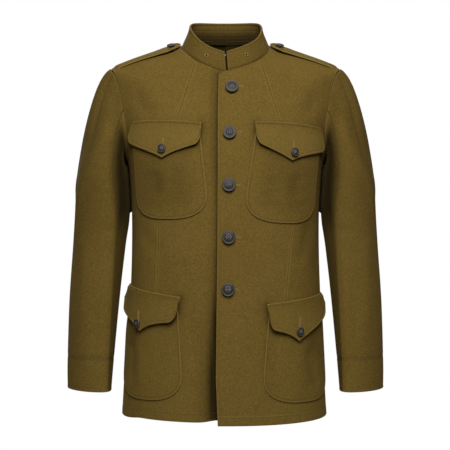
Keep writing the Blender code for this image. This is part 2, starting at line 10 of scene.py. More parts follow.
import bpy
import numpy as np
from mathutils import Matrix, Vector


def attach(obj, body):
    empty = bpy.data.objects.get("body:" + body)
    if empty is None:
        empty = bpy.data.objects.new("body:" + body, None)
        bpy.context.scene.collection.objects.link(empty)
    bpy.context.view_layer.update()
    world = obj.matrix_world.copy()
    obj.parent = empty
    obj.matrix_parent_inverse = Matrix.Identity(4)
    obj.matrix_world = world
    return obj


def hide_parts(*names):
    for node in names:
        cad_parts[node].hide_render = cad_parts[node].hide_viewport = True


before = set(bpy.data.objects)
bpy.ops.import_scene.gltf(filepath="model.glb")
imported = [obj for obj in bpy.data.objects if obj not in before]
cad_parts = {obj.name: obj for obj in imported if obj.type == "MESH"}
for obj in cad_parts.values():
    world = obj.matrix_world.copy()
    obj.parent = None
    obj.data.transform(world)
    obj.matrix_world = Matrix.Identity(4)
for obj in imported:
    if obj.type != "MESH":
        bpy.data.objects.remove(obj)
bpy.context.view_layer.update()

WALL = 0.0024               # melton of the panels and sleeves
GAP = 0.0003                # clearance between the CAD model's pieces

# Rings of the body, hem to neckline. The last rings slope from the shoulder point to the neck.
# front_z  side_z  back_z  half_width  front_depth  back_depth  squareness  shoulder
BODY = np.array((
    (-0.718, -0.714, -0.714, 0.1960, 0.1400, 0.1190, 2.30, 0.000),
    (-0.640, -0.640, -0.640, 0.1920, 0.1410, 0.1140, 2.30, 0.000),
    (-0.560, -0.560, -0.560, 0.1880, 0.1420, 0.1070, 2.30, 0.000),
    (-0.480, -0.480, -0.480, 0.1840, 0.1430, 0.1000, 2.30, 0.000),
    (-0.400, -0.400, -0.400, 0.1815, 0.1435, 0.0965, 2.30, 0.000),
    (-0.325, -0.325, -0.325, 0.1815, 0.1425, 0.1010, 2.32, 0.000),
    (-0.262, -0.262, -0.262, 0.1845, 0.1385, 0.1070, 2.35, 0.000),
    (-0.210, -0.210, -0.210, 0.1900, 0.1315, 0.1120, 2.38, 0.000),
    (-0.166, -0.164, -0.168, 0.1960, 0.1220, 0.1130, 2.34, 0.001),
    (-0.132, -0.120, -0.134, 0.2000, 0.1110, 0.1100, 2.24, 0.006),
    (-0.110, -0.078, -0.103, 0.2000, 0.1028, 0.1040, 2.12, 0.016),
    (-0.102, -0.056, -0.086, 0.1965, 0.0994, 0.1000, 2.06, 0.027),
    (-0.094, -0.046, -0.072, 0.1890, 0.0960, 0.0955, 2.03, 0.032),
    (-0.083, -0.0315, -0.048, 0.1680, 0.0912, 0.0870, 2.00, 0.019),
    (-0.074, -0.0200, -0.026, 0.1420, 0.0868, 0.0795, 2.00, 0.008),
    (-0.066, -0.0110, -0.006, 0.1120, 0.0825, 0.0725, 2.00, 0.002),
    (-0.058, -0.005, 0.0120, 0.0815, 0.0780, 0.0660, 2.00, 0.000),
))
SHOULDER_ROW = 12
NECK_ROW = 16
SHOULDER_TAPER = 5
ARMPIT_ROW = 6.70

# The armhole, every eighth of a turn from the shoulder point forwards, down and up the back.
# row  quarter
ARMHOLE = np.array((
    (SHOULDER_ROW, 1.000),
    (11.3, 0.845),
    (9.40, 0.785),
    (7.75, 0.780),
    (ARMPIT_ROW, 1.000),
    (7.75, 1.235),
    (9.40, 1.235),
    (11.3, 1.170),
))

# Sections of the left sleeve below the armhole. A section's long axis runs from the front crease
# to the elbow side, and its front turns towards the body.
# height  centre_x  centre_y  half_length  half_thickness  turn_in
SLEEVE = np.array((
    (-0.262, 0.2400, 0.004, 0.0720, 0.0505, 12),
    (-0.331, 0.2407, 0.006, 0.0700, 0.0525, 18),
    (-0.391, 0.2462, 0.002, 0.0670, 0.0490, 24),
    (-0.496, 0.2540, -0.014, 0.0640, 0.0445, 30),
    (-0.612, 0.2595, -0.032, 0.0610, 0.0380, 34),
    (-0.662, 0.2605, -0.042, 0.0590, 0.0340, 36),
))
FRONT_SEAM = 105            # degrees round the sleeve from its outer side to the forearm seam
HIND_SEAM = 255             # and on to the hind-arm seam
FOREARM_CREASE = (0.05, 8)  # how far the crease stands out, as a share of the length, and how sharp

# The sleeve head leaves the armhole and falls to the first section. Each pull has a mean, a
# change from underarm to shoulder, and changes at both of these and at the shoulder alone.
LEAVE_PULL = (0.0675, 0.0525, 0.0275, -0.0350)
FALL_PULL = (0.1300, 0.0600, 0.0000, -0.0900)
CAP_ROLL = 0.6              # how far the head turns forwards and back out of the armhole's slope
CAP_SPREAD = 0.3            # how far it turns outwards in front and behind
CAP_RISE = 0.5              # how far it turns up at the shoulder
CAP_FULLNESS = 0.009        # how far it stands out in front and behind
SEAM_FOLD = 0.006           # how far the underarm folds out over the side seam

# The free edge of the left front, which laps over the right front.
# height  edge_x
LAP_EDGE = np.array((
    (-0.719, -0.0120),
    (-0.632, -0.0155),
    (-0.340, -0.0125),
    (-0.143, -0.0113),
    (-0.058, -0.0090),
))
UNDERLAP = 0.025            # reach of the right front past the centre, under the left
LAP_SINK = WALL + 0.0010    # depth of the right front under the left
LAP_SINK_RUN = (0.018, 0.032)   # distance from the centre where the right front comes up again
RIGHT_HEM_RISE = (0.0095, 0.0060)   # the right front hangs higher, most at its free edge
RIGHT_HEM_RUN = (0.060, 0.040)      # reach of each rise from the centre and from the side
NECK_DIP = (0.75, 0.012)    # rows that the neck corner drops, and the distance that it takes

# Collar band. It rises from the neckline to this ring.
COLLAR_TOP = np.array((-0.0190, 0.0365, 0.0548, 0.0685, 0.0630, 0.0610, 2.00, 0.000))
COLLAR_WALL = 0.0030
COLLAR_ENDS = (0.0035, 0.0008)   # x of the left and right ends at the centre front
NECK_TAPE = (0.0045, 0.0125)     # inside heights above the neckline
TAPE_WALL = 0.0010

# Patch pockets, in metres along the cloth from the centre front and up. The lower edge is half
# of a squared ellipse, as high as round. It hangs lower on the outer side by tilt.
# side  top_inner  top_outer  low_inner  low_outer  top_inner_z  top_outer_z  bottom_z  round  tilt
POCKETS = {
    "pocket_breast_right": (-1, 0.047, 0.193, 0.028, 0.191, -0.172, -0.168, -0.3385, 0.058, 0.000),
    "pocket_breast_left": (1, 0.056, 0.203, 0.0295, 0.191, -0.172, -0.178, -0.3460, 0.058, 0.006),
    "pocket_skirt_right": (-1, 0.088, 0.238, 0.077, 0.247, -0.493, -0.485, -0.6750, 0.060, 0.000),
    "pocket_skirt_left": (1, 0.080, 0.236, 0.065, 0.245, -0.506, -0.492, -0.6790, 0.060, 0.000),
}
POCKET_SQUARE = 2.7         # exponent of the ellipse
POCKET_WALL = 0.0018

# Pocket flaps with a pointed lower edge. Each half of the edge sweeps down to the point, in a
# straight line for 0.
# side  inner  outer  inner_z  outer_z  inner_depth  outer_depth  point_depth  point_share
# flare  corner  inner_sweep  outer_sweep
FLAPS = {
    "flap_breast_right": (-1, 0.0445, 0.1850, -0.1600, -0.1530, 0.040, 0.040, 0.069, 0.515,
                          0.014, 0.012, 0.22, 0.10),
    "flap_breast_left": (1, 0.0548, 0.1950, -0.1580, -0.1645, 0.040, 0.045, 0.069, 0.493,
                         0.014, 0.012, 0.10, 0.25),
    "flap_skirt_right": (-1, 0.0840, 0.2400, -0.4810, -0.4610, 0.046, 0.046, 0.077, 0.53,
                         0.010, 0.020, 0.45, 0.30),
    "flap_skirt_left": (1, 0.0770, 0.2335, -0.4940, -0.4775, 0.046, 0.038, 0.0765, 0.388,
                        0.006, 0.018, 0.35, 0.10),
}
FLAP_WALL = 0.0024
SEWN_LIFT = 0.0008          # a sewn edge over the cloth under it
FLAP_CURL = 1.1             # its inner corner stands off more by this share
FLAP_BELLY = 0.6            # and the outer one on the right skirt pocket by this
FLAP_TUCK = 0.0006          # a flap's seam draws into the cloth
FLAP_CLEAR = 0.0008         # a flap over its pocket
FLAP_RISE_RUN = (0.001, 0.008)     # depth at which a flap rises over its pocket's edge
FLAP_STAND = {"breast": 0.0026, "skirt": 0.0040}   # more lift at a flap's lower edge
FLAP_SWEEP = 4.0            # sharpness of the sweep down to the point

# Shoulder straps, from the sleeve seam to a pointed end beside the collar.
STRAP_ROWS = (12.04, 15.88)
STRAP_HALF_WIDTHS = (0.0245, 0.0195)
STRAP_POINT = 0.144         # share of the length that the point takes
STRAP_WALL = 0.0030
STRAP_STAND = 0.0036        # the pointed end stands this much further off the shoulder

# Front buttons, by their distance from the centre and their height.
FRONT_BUTTONS = (
    (0.0121, -0.0921),
    (0.0075, -0.1789),
    (0.0063, -0.2757),
    (0.0059, -0.3713),
    (0.0049, -0.4666),
)
# Flap buttons, by their distance along the cloth from the centre front and their height.
FLAP_BUTTONS = {
    "flap_breast_right": (0.1160, -0.2085),
    "flap_breast_left": (0.1270, -0.2150),
    "flap_skirt_right": (0.1705, -0.5330),
    "flap_skirt_left": (0.1380, -0.5460),
}
STRAP_BUTTON_ROW = 15.30
FRONT_BUTTON = 0.0248       # diameters
SMALL_BUTTON = 0.0165
SHANK = 0.0022              # height of the shank
BUTTON_THICKNESS = 0.24     # of the head, as a share of the diameter

HOOK_WIRE = 0.0005          # radius of the collar's hook and eye
HOOK_RISE = 0.84            # their height in the collar, as a share of it
HOOK_TAIL = 0.0085          # length of the wire sewn to each end of the collar
EYE_START = 0.0012          # the eye's round end starts this far right of the centre
EYE_REACH = 0.0016          # and reaches this far from there
EYE_HALF_HEIGHT = 0.045     # share of the collar's height
HOOK_BEND = 0.0004          # half the width of the hook's bend


def along(table, row):
    """Columns of a table at a fractional row, on a smooth curve through its rows."""
    last = len(table) - 1
    row = np.clip(np.asarray(row, float), 0, last)
    start = np.minimum(row.astype(int), last - 1)
    share = (row - start)[..., None]
    here, ahead = table[start], table[start + 1]
    before = np.where(start[..., None] > 0, table[np.maximum(start - 1, 0)], 2 * here - ahead)
    beyond = np.where(start[..., None] < last - 1, table[np.minimum(start + 2, last)],
                      2 * ahead - here)
    bend = 2 * before - 5 * here + 4 * ahead - beyond
    swing = 3 * (here - ahead) + beyond - before
    return here + share / 2 * (ahead - before + share * (bend + share * swing))


def ring(q, columns):
    """Point q quarter turns round a level or sloping ring, drawn out sideways at the shoulder."""
    (front_z, side_z, back_z, half_width, front_depth, back_depth,
     square, drawn) = np.moveaxis(columns, -1, 0)
    angle = q * math.pi / 2
    across, forward = np.sin(angle), np.cos(angle)
    reach = (np.abs(across) ** square + np.abs(forward) ** square) ** (-1 / square)
    middle = (front_z + back_z) / 2
    z = ((middle + side_z) / 2 + (front_z - back_z) / 2 * forward
         + (middle - side_z) / 2 * np.cos(2 * angle))
    depth = np.where(forward > 0, front_depth, back_depth)
    width = half_width * reach + drawn * np.abs(across) ** SHOULDER_TAPER
    return np.stack((width * across, -depth * reach * forward, z), -1)


def body(q, t):
    q, t = np.broadcast_arrays(np.asarray(q, float), np.asarray(t, float))
    return ring(q, along(BODY, t))


def unit(vectors):
    return vectors / np.linalg.norm(vectors, axis=-1, keepdims=True)


def normals(surface, a, b, step=1e-3, low=0.0, high=NECK_ROW):
    """Outward unit normals of surface(a, b)."""
    a, b = np.broadcast_arrays(np.asarray(a, float), np.asarray(b, float))
    along_a = surface(a + step, b) - surface(a - step, b)
    along_b = surface(a, np.minimum(b + step, high)) - surface(a, np.maximum(b - step, low))
    return unit(np.cross(along_a, along_b))


def speed(q, t, step=1e-3):
    """Metres of cloth for each quarter turn."""
    return np.linalg.norm(body(q + step, t) - body(q - step, t), axis=-1) / (2 * step)


QUARTER_TURN = 0.27         # metres, near enough to start from
ARC_Q = np.linspace(-2.05, 2.05, 411)
ARC_T = np.linspace(0, NECK_ROW, 321)
ARC_STEPS = np.linalg.norm(np.diff(body(ARC_Q[None], ARC_T[:, None]), axis=1), axis=-1)
ARC = np.concatenate((np.zeros((len(ARC_T), 1)), np.cumsum(ARC_STEPS, axis=1)), axis=1)
ARC -= ARC[:, [len(ARC_Q) // 2]]


def arc(q, t):
    """Metres along the ring from the centre front."""
    column = np.clip((q - ARC_Q[0]) / (ARC_Q[1] - ARC_Q[0]), 0, len(ARC_Q) - 1.001)
    row = np.clip(t / (ARC_T[1] - ARC_T[0]), 0, len(ARC_T) - 1.001)
    i, j = column.astype(int), row.astype(int)
    x, y = column - i, row - j
    low = ARC[j, i] * (1 - x) + ARC[j, i + 1] * x
    return low * (1 - y) + (ARC[j + 1, i] * (1 - x) + ARC[j + 1, i + 1] * x) * y


def quarter(s, t):
    """The quarter turn that is s metres along the ring."""
    s, t = np.broadcast_arrays(np.asarray(s, float), np.asarray(t, float))
    q = s / QUARTER_TURN
    for _ in range(12):
        q = np.clip(q + (s - arc(q, t)) / speed(q, t), -2.04, 2.04)
    return q


def find(s, z):
    """Surface coordinates of the point s along the cloth from the centre front, at height z."""
    s, z = np.broadcast_arrays(np.asarray(s, float), np.asarray(z, float))
    q = s / QUARTER_TURN
    t = np.interp(z, BODY[:, 1], np.arange(len(BODY)))
    for _ in range(25):
        rise = (body(q, t + 1e-3)[..., 2] - body(q, t - 1e-3)[..., 2]) / 2e-3
        t = np.clip(t + (z - body(q, t)[..., 2]) / rise, 0, NECK_ROW)
        q = np.clip(q + (s - arc(q, t)) / speed(q, t), -1.95, 1.95)
    return q, t


def ease(x):
    x = np.clip(x, 0, 1)
    return x * x * (3 - 2 * x)


def bell(x):
    return np.exp(-x * x)


def blend(low, high, share):
    return low + (high - low) * share


# --- Meshes ---

# How far the lines of points lie from a turned and stitched edge, from a seam, and to both sides
# of a row of stitches or of an eyelet.
STITCHED = np.array((0, 0.10, 0.40, 0.85, 1.5, 2.4, 3.4, 4.3, 4.9, 5.3, 5.6, 5.9, 6.3, 6.9, 8.0,
                     10.0)) / 1000
SEAMED = np.array((0, 0.10, 0.35, 0.80, 1.5, 2.6, 4.4, 7.0)) / 1000
ROW = np.array((-1.8, -1.0, -0.5, -0.2, 0.2, 0.5, 1.0, 1.8)) / 1000
PIT = np.array((-2.4, -1.8, -1.5, -1.2, -0.8, -0.3, 0.3, 0.8, 1.2, 1.5, 1.8, 2.4)) / 1000

STITCH_PITCH = 0.0030
STITCH_LENGTH = 0.0023
STITCH_RADIUS = 0.0003
STITCH_SIDES = 5
# A stitch's rings of points: place as a share of its length, size, and height in radii.
STITCH_RINGS = ((-0.5, 0.4, -0.9), (-0.34, 1.0, 0.15), (0.34, 1.0, 0.15), (0.5, 0.4, -0.9))
SHORTEST_ROW = 0.01


def lines(length, step, start=(), end=(), *marks):
    """Places from 0 to length, about step apart, but at these offsets from the start, back from
    the end and from the marks."""
    places = np.linspace(0, length, max(round(length / step), 1) + 1)
    for place, offsets in ((0, start), (length, -np.array(end)[::-1]), *marks):
        if len(offsets):
            low, high = place + min(offsets) - step / 3, place + max(offsets) + step / 3
            places = np.concatenate((places[(places < low) | (places > high)], place + offsets))
    places = np.unique(np.round(np.clip(places, 0, length), 6))
    places[-1] = length
    return places


def between(start, end, usual, step, near_start, near_end):
    """Places on each row from start to end, spread as lines() has them for the usual length."""
    places, width = lines(usual, step, near_start, near_end), (end - start)[:, None]
    first, last = near_start[-1], near_end[-1]
    middle = first + (places - first) * (width - first - last) / (usual - first - last)
    middle = np.where(places >= usual - last, width - usual + places, middle)
    return start[:, None] + np.where(places <= first, places, middle)


def to_line(points, line):
    """Distance of points from a line of points, and how far along the line they lie."""
    best = np.full(points.shape[:-1], np.inf)
    place = np.zeros_like(best)
    passed = 0.0
    for a, b in zip(line[:-1], line[1:]):
        step = b - a
        length = np.linalg.norm(step)
        if length < 1e-9:
            continue
        share = np.clip((points - a) @ step / length ** 2, 0, 1)
        away = np.linalg.norm(points - a - share[..., None] * step, axis=-1)
        closer = away < best
        best = np.where(closer, away, best)
        place = np.where(closer, passed + share * length, place)
        passed += length
    return best, place


def from_edges(points):
    """Distances of a grid's points from its first and last columns and its first and last rows."""
    return [to_line(points, edge)[0]
            for edge in (points[:, 0], points[:, -1], points[0], points[-1])]


def from_rim(points):
    """Distances from a grid's free rim, which leaves out its first row, and from that row."""
    rim = np.concatenate((points[:, 0], points[-1, 1:-1], points[::-1, -1]))
    return to_line(points, rim)[0], to_line(points, points[0])[0]


def rounded_edge(away, radius):
    """How far a cloth's face has come down at this distance from its edge."""
    return radius * (1 - np.sqrt(1 - (1 - np.clip(away / radius, 0, 1)) ** 2))


def turned(away, row, rise=0.0005, sunk=0.0006):
    """Relief of a turned edge with a row of stitches along it."""
    return rise * (1 - ease((away - row) / 0.0022 + 0.5)) - sunk * bell((away - row) / 0.0008)


def mesh_object(name, points, faces, paint, nodes=()):
    data = bpy.data.meshes.new(name)
    data.from_pydata([tuple(p) for p in np.asarray(points, float).tolist()], [], faces)
    data.materials.append(paint)
    data.polygons.foreach_set("use_smooth", [True] * len(data.polygons))
    made = bpy.data.objects.new(name, data)
    bpy.context.scene.collection.objects.link(made)
    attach(made, "root")
    if nodes:
        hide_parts(*nodes)
    return made


def attribute(made, word, values):
    layer = made.data.attributes.new(word, "FLOAT", "POINT")
    layer.data.foreach_set("value", values.astype(np.float32))


def ring_faces(rings, sides, first=0, closed=False):
    """Quads between rings of points, and lids on the outer two unless the rings close up."""
    def at(ring, side):
        return first + ring % rings * sides + side % sides
    faces = [(at(j, k), at(j, k + 1), at(j + 1, k + 1), at(j + 1, k))
             for j in range(rings if closed else rings - 1) for k in range(sides)]
    if not closed:
        faces.append(tuple(at(0, k) for k in reversed(range(sides))))
        faces.append(tuple(at(rings - 1, k) for k in range(sides)))
    return faces


def spread(grid, axis):
    """Metres along a grid's rows or columns, as one weave for the whole piece."""
    steps = np.linalg.norm(np.diff(grid, axis=axis), axis=-1)
    return np.pad(np.cumsum(steps, axis=axis), [(1, 0), (0, 0)] if axis == 0 else [(0, 0), (1, 0)])


def cloth_piece(name, base, out, away, thick, rows, relief=0.0, wear_and_highlight=0.0, dark=0.0, under=0.0,
                under_dark=0.0, inner_rows=()):
    """A node's closed cloth on a grid of points, its edges rounded, with its weave, its wear and
    painted highlights, and its painted shade outside and inside.

    rows and inner_rows are its rows of stitches, outside and inside: each is a field on the
    grid and the level that the row follows.
    """
    rim = np.ones(away.shape, bool)
    rim[1:-1, 1:-1] = False
    away = np.where(rim, 0.0, away)
    drop = rounded_edge(away, thick / 2)
    outer = base + (relief * ease(away / thick) - drop)[..., None] * out
    inner = base - (thick - drop + under * ease(away / thick))[..., None] * out
    number = np.arange(rim.size).reshape(rim.shape)
    below = number.copy()
    below[~rim] = rim.size + np.arange((~rim).sum())
    faces, inner_faces = (
        np.stack((n[:-1, :-1], n[:-1, 1:], n[1:, 1:], n[1:, :-1]), -1).reshape(-1, 4)
        for n in (number, below))
    faces = np.concatenate((faces, inner_faces[:, ::-1]))
    j, i = rim.shape[0] // 2, rim.shape[1] // 2
    if np.cross(outer[j, i + 1] - outer[j, i], outer[j + 1, i] - outer[j, i]) @ out[j, i] < 0:
        faces = faces[:, ::-1]
    points = np.concatenate((outer.reshape(-1, 3), inner[~rim]))
    made = mesh_object(name + "_cloth", points, faces.tolist(), WOOL, (name,))
    weave = np.stack((spread(base, 1), spread(base, 0).mean(axis=1, keepdims=True) + 0 * away), -1)
    weave = np.concatenate((weave.reshape(-1, 2), weave[~rim]))
    corners = np.empty(len(made.data.loops), int)
    made.data.loops.foreach_get("vertex_index", corners)
    made.data.uv_layers.new(name="weave").data.foreach_set("uv", weave[corners].ravel())
    # wear and painted highlights on the outside only; painted shade on both faces
    for word, value, below_value in (("wear_and_highlight", wear_and_highlight, 0.0), ("dark", dark, under_dark)):
        value, below_value = (np.broadcast_to(v, away.shape) for v in (value, below_value))
        attribute(made, word, np.concatenate((value.ravel(), below_value[~rim])))
    found = [line for field, level in rows for line in contour(field, level, outer, out)]
    found += [line for field, level in inner_rows for line in contour(field, level, inner, -out)]
    stitching(name + "_stitching", found)


def contour(field, level, *grids):
    """Lines along which a field on a grid is at a level, with the grids' values there."""
    over = field > level
    count = over[:-1, :-1].astype(int) + over[:-1, 1:] + over[1:, :-1] + over[1:, 1:]
    links, found = {}, []
    for j, i in np.argwhere((count > 0) & (count < 4)).tolist():
        corners = ((j, i), (j, i + 1), (j + 1, i + 1), (j + 1, i))
        crossed = [tuple(sorted(pair)) for pair in zip(corners, corners[1:] + corners[:1])
                   if over[pair[0]] != over[pair[1]]]
        if len(crossed) == 2:
            links.setdefault(crossed[0], []).append(crossed[1])
            links.setdefault(crossed[1], []).append(crossed[0])
    while links:
        start = next((key for key in links if len(links[key]) == 1), next(iter(links)))
        chain = [start]
        while True:
            ahead = [key for key in links.pop(chain[-1]) if key in links]
            if not ahead:
                break
            chain.append(ahead[0])
        found.append(chain)
    lines_found = []
    for chain in found:
        share = np.array([(level - field[a]) / (field[b] - field[a]) for a, b in chain])[:, None]
        lines_found.append([np.array([g[a] for a, b in chain]) * (1 - share)
                            + np.array([g[b] for a, b in chain]) * share for g in grids])
    return lines_found


def resampled(step, line, *others):
    """A line of points, and values along it, at even steps."""
    place = np.concatenate(([0], np.cumsum(np.linalg.norm(np.diff(line, axis=0), axis=1))))
    wanted = np.linspace(0, place[-1], max(round(place[-1] / step), 1) + 1)
    return [np.stack([np.interp(wanted, place, column) for column in grid.T], -1)
            for grid in (line, *others)]


def stitching(name, found):
    """Single stitches along lines of points, each given with the cloth's normals on it."""
    points, faces, count = [], [], 0
    for line, out in found:
        if np.linalg.norm(np.diff(line, axis=0), axis=1).sum() <= SHORTEST_ROW:
            continue
        spots, ups = resampled(STITCH_PITCH, line, unit(out))
        middles, ups = (spots[1:] + spots[:-1]) / 2, unit(ups[1:] + ups[:-1])
        runs = unit(spots[1:] - spots[:-1])
        sides = unit(np.cross(ups, runs))
        rings = []
        for place, size, rise in STITCH_RINGS:
            for turn in 2 * math.pi * np.arange(STITCH_SIDES) / STITCH_SIDES:
                up = (size * math.sin(turn) + rise) * STITCH_RADIUS * ups
                rings.append(middles + place * STITCH_LENGTH * runs
                             + size * STITCH_RADIUS * math.cos(turn) * sides + up)
        for _ in middles:
            faces += ring_faces(len(STITCH_RINGS), STITCH_SIDES, count)
            count += len(rings)
        points.append(np.stack(rings, 1).reshape(-1, 3))
    mesh_object(name, np.concatenate(points), faces, THREAD)


# --- Materials ---

class Nodes:
    """Short calls for a material's nodes."""
    def __init__(self, name):
        self.material = bpy.data.materials.new(name)
        self.material.use_nodes = True
        self.tree = self.material.node_tree
        self.shader = self.tree.nodes["Principled BSDF"]
        self.place = self.add("TexCoord").outputs["Object"]

    def add(self, kind, sockets=(), **settings):
        node = self.tree.nodes.new("ShaderNode" + kind)
        for key, value in settings.items():
            setattr(node, key, value)
        for key, value in dict(sockets).items():
            if isinstance(value, bpy.types.NodeSocket):
                self.tree.links.new(value, node.inputs[key])
            else:
                node.inputs[key].default_value = value
        return node

    def times(self, a, b):
        return self.add("Math", {0: a, 1: b}, operation="MULTIPLY").outputs[0]

    def value(self, name):
        return self.add("Attribute", attribute_name=name, attribute_type="GEOMETRY").outputs["Fac"]

    def ramp(self, value, low, high, to_low=0.0, to_high=1.0):
        return self.add("MapRange", enumerate((value, low, high, to_low, to_high))).outputs[0]

    def noise(self, scale, detail, rough=0.55):
        sockets = {"Vector": self.place, "Scale": scale, "Detail": detail, "Roughness": rough}
        return self.add("TexNoise", sockets).outputs["Fac"]

    def mix(self, share, a, b):
        return self.add("Mix", {0: share, 6: a, 7: b}, data_type="RGBA").outputs[2]

    def bump(self, height, distance, strength, under=None):
        sockets = {"Strength": strength, "Distance": distance, "Height": height}
        if under is not None:
            sockets["Normal"] = under
        return self.add("Bump", sockets).outputs[0]

    def shade(self, colour, roughness, normal=None, **constants):
        """Link the shader's own sockets, and set those that are the same all over."""
        for key, value in (("Base Color", colour), ("Roughness", roughness), ("Normal", normal)):
            if value is not None:
                self.tree.links.new(value, self.shader.inputs[key])
        for key, value in constants.items():
            self.shader.inputs[key.replace("_", " ")].default_value = value
        return self.material


def wool(name):
    """Felted wool twill: mottled yarns under a fine nap, paler on rubbed edges and where highlights
    are painted, darker where shade is painted.
    """
    m = Nodes(name)
    weave = m.add("UVMap", uv_map="weave").outputs["UV"]
    bias = m.add("Mapping", {"Vector": weave, "Rotation": (0, 0, math.radians(58))}).outputs[0]
    twill = m.add("TexWave", {"Vector": bias, "Scale": 330.0, "Distortion": 2.2, "Detail": 2.0,
                              "Detail Scale": 1.6}, wave_type="BANDS").outputs["Fac"]
    nap, fuzz, mottle = m.noise(1700, 3), m.noise(760, 4, 0.6), m.noise(300, 3, 0.6)
    tone = m.add("Math", {0: m.times(fuzz, 0.55), 1: m.times(mottle, 0.45)},
                 operation="ADD").outputs[0]
    wear_and_highlight_share = m.times(m.value("wear_and_highlight"), m.ramp(fuzz, 0.30, 0.62, 0.30, 0.80))
    colour = (0.104, 0.0640, 0.0112, 1)
    for share, over in (
            (m.ramp(tone, 0.38, 0.62), (0.190, 0.1205, 0.0260, 1)),
            (m.ramp(m.noise(45, 3), 0.35, 0.65, 0.0, 0.16), (0.110, 0.068, 0.0120, 1)),
            (m.ramp(m.noise(9, 2), 0.40, 0.65, 0.0, 0.12), (0.215, 0.148, 0.0360, 1)),
            (m.times(m.ramp(twill, 0.2, 0.8), 0.10), (0.080, 0.052, 0.010, 1)),
            # paler from wear on edges, and from highlights painted on ridges, seams and the flaps
            (wear_and_highlight_share, (0.300, 0.208, 0.0560, 1)),
            # near black where shade is painted
            (m.value("dark"), (0.011, 0.0065, 0.0012, 1))):
        colour = m.mix(share, colour, over)
    relief = None
    for height, distance, strength in ((nap, 0.00020, 0.30), (twill, 0.00020, 0.40),
                                       (fuzz, 0.00045, 0.40), (mottle, 0.0006, 0.25)):
        relief = m.bump(height, distance, strength, relief)
    return m.shade(colour, m.ramp(tone, 0.3, 0.7, 0.98, 0.84), relief, Sheen_Weight=0.08,
                   Sheen_Roughness=0.5, Sheen_Tint=(0.70, 0.48, 0.14, 1), Specular_IOR_Level=0.08)


def grained(name, noise, low, high, roughness, bump, **constants):
    """A material with one fine grain in its colour, its roughness and its surface."""
    m = Nodes(name)
    grain = m.noise(*noise)
    return m.shade(m.mix(m.ramp(grain, 0.3, 0.7), low, high), m.ramp(grain, 0.3, 0.7, *roughness),
                   m.bump(grain, *bump), **constants)


def thread(name, tone):
    return grained(name, (2600, 2), (*(0.72 * part for part in tone), 1), (*tone, 1), (0.75, 0.55),
                   (0.0001, 0.5), Sheen_Weight=0.05, Sheen_Roughness=0.4,
                   Sheen_Tint=(0.8, 0.6, 0.3, 1), Specular_IOR_Level=0.15)


def bronze(name):
    """Dark oxidised bronze, brighter from rubbing where it stands proud."""
    m = Nodes(name)
    grain, patch = m.noise(900, 4), m.noise(160, 4)
    colour = m.mix(m.ramp(patch, 0.35, 0.65), (0.050, 0.045, 0.041, 1), (0.094, 0.084, 0.075, 1))
    rub_and_highlight = m.times(m.value("wear_and_highlight"), m.ramp(grain, 0.3, 0.6, 0.5, 1.0))
    colour = m.mix(rub_and_highlight, colour, (0.215, 0.200, 0.182, 1))
    colour = m.mix(m.value("dark"), colour, (0.026, 0.024, 0.021, 1))
    return m.shade(colour, m.ramp(patch, 0.3, 0.7, 0.46, 0.68), m.bump(grain, 0.00012, 0.4),
                   Metallic=0.65)


WOOL = wool("wool_twill")
THREAD = thread("sewing_thread", (0.165, 0.112, 0.034))
SILK = thread("buttonhole_silk", (0.265, 0.182, 0.0500))
BRONZE = bronze("oxidised_bronze")
STEEL = grained("hook_wire", (1200, 3), (0.16, 0.15, 0.13, 1), (0.34, 0.33, 0.30, 1), (0.32, 0.55),
                (0.00008, 0.4), Metallic=0.9)

# --- Camera, floor and light ---

CAMERA = (-0.0008, -2.3, -0.349)
LENS_MM = 94.4
KEY_PLACE = (0.05, -2.5, 1.50)
KEY_SIZE = 1.9
KEY_WATTS = 108
BACK_PLACE = (-0.4, 2.5, 1.4)
BACK_STRENGTH = 2.1
BACK_SPREAD = 60            # degrees
LIGHT_TARGET = (0.0, -0.1, -0.25)
WORLD_STRENGTH = 0.035
FLOOR_Z = -1.45             # the shoulders are 1.45 m up, as worn
FLOOR_REACH = 1.3
FLOOR_DEPTH = 0.02
FLOOR_TURNS = 96


def placed(name, data, place, rotation=(0, 0, 0)):
    made = bpy.data.objects.new(name, data)
    bpy.context.scene.collection.objects.link(made)
    made.location, made.rotation_euler = place, rotation
    return made


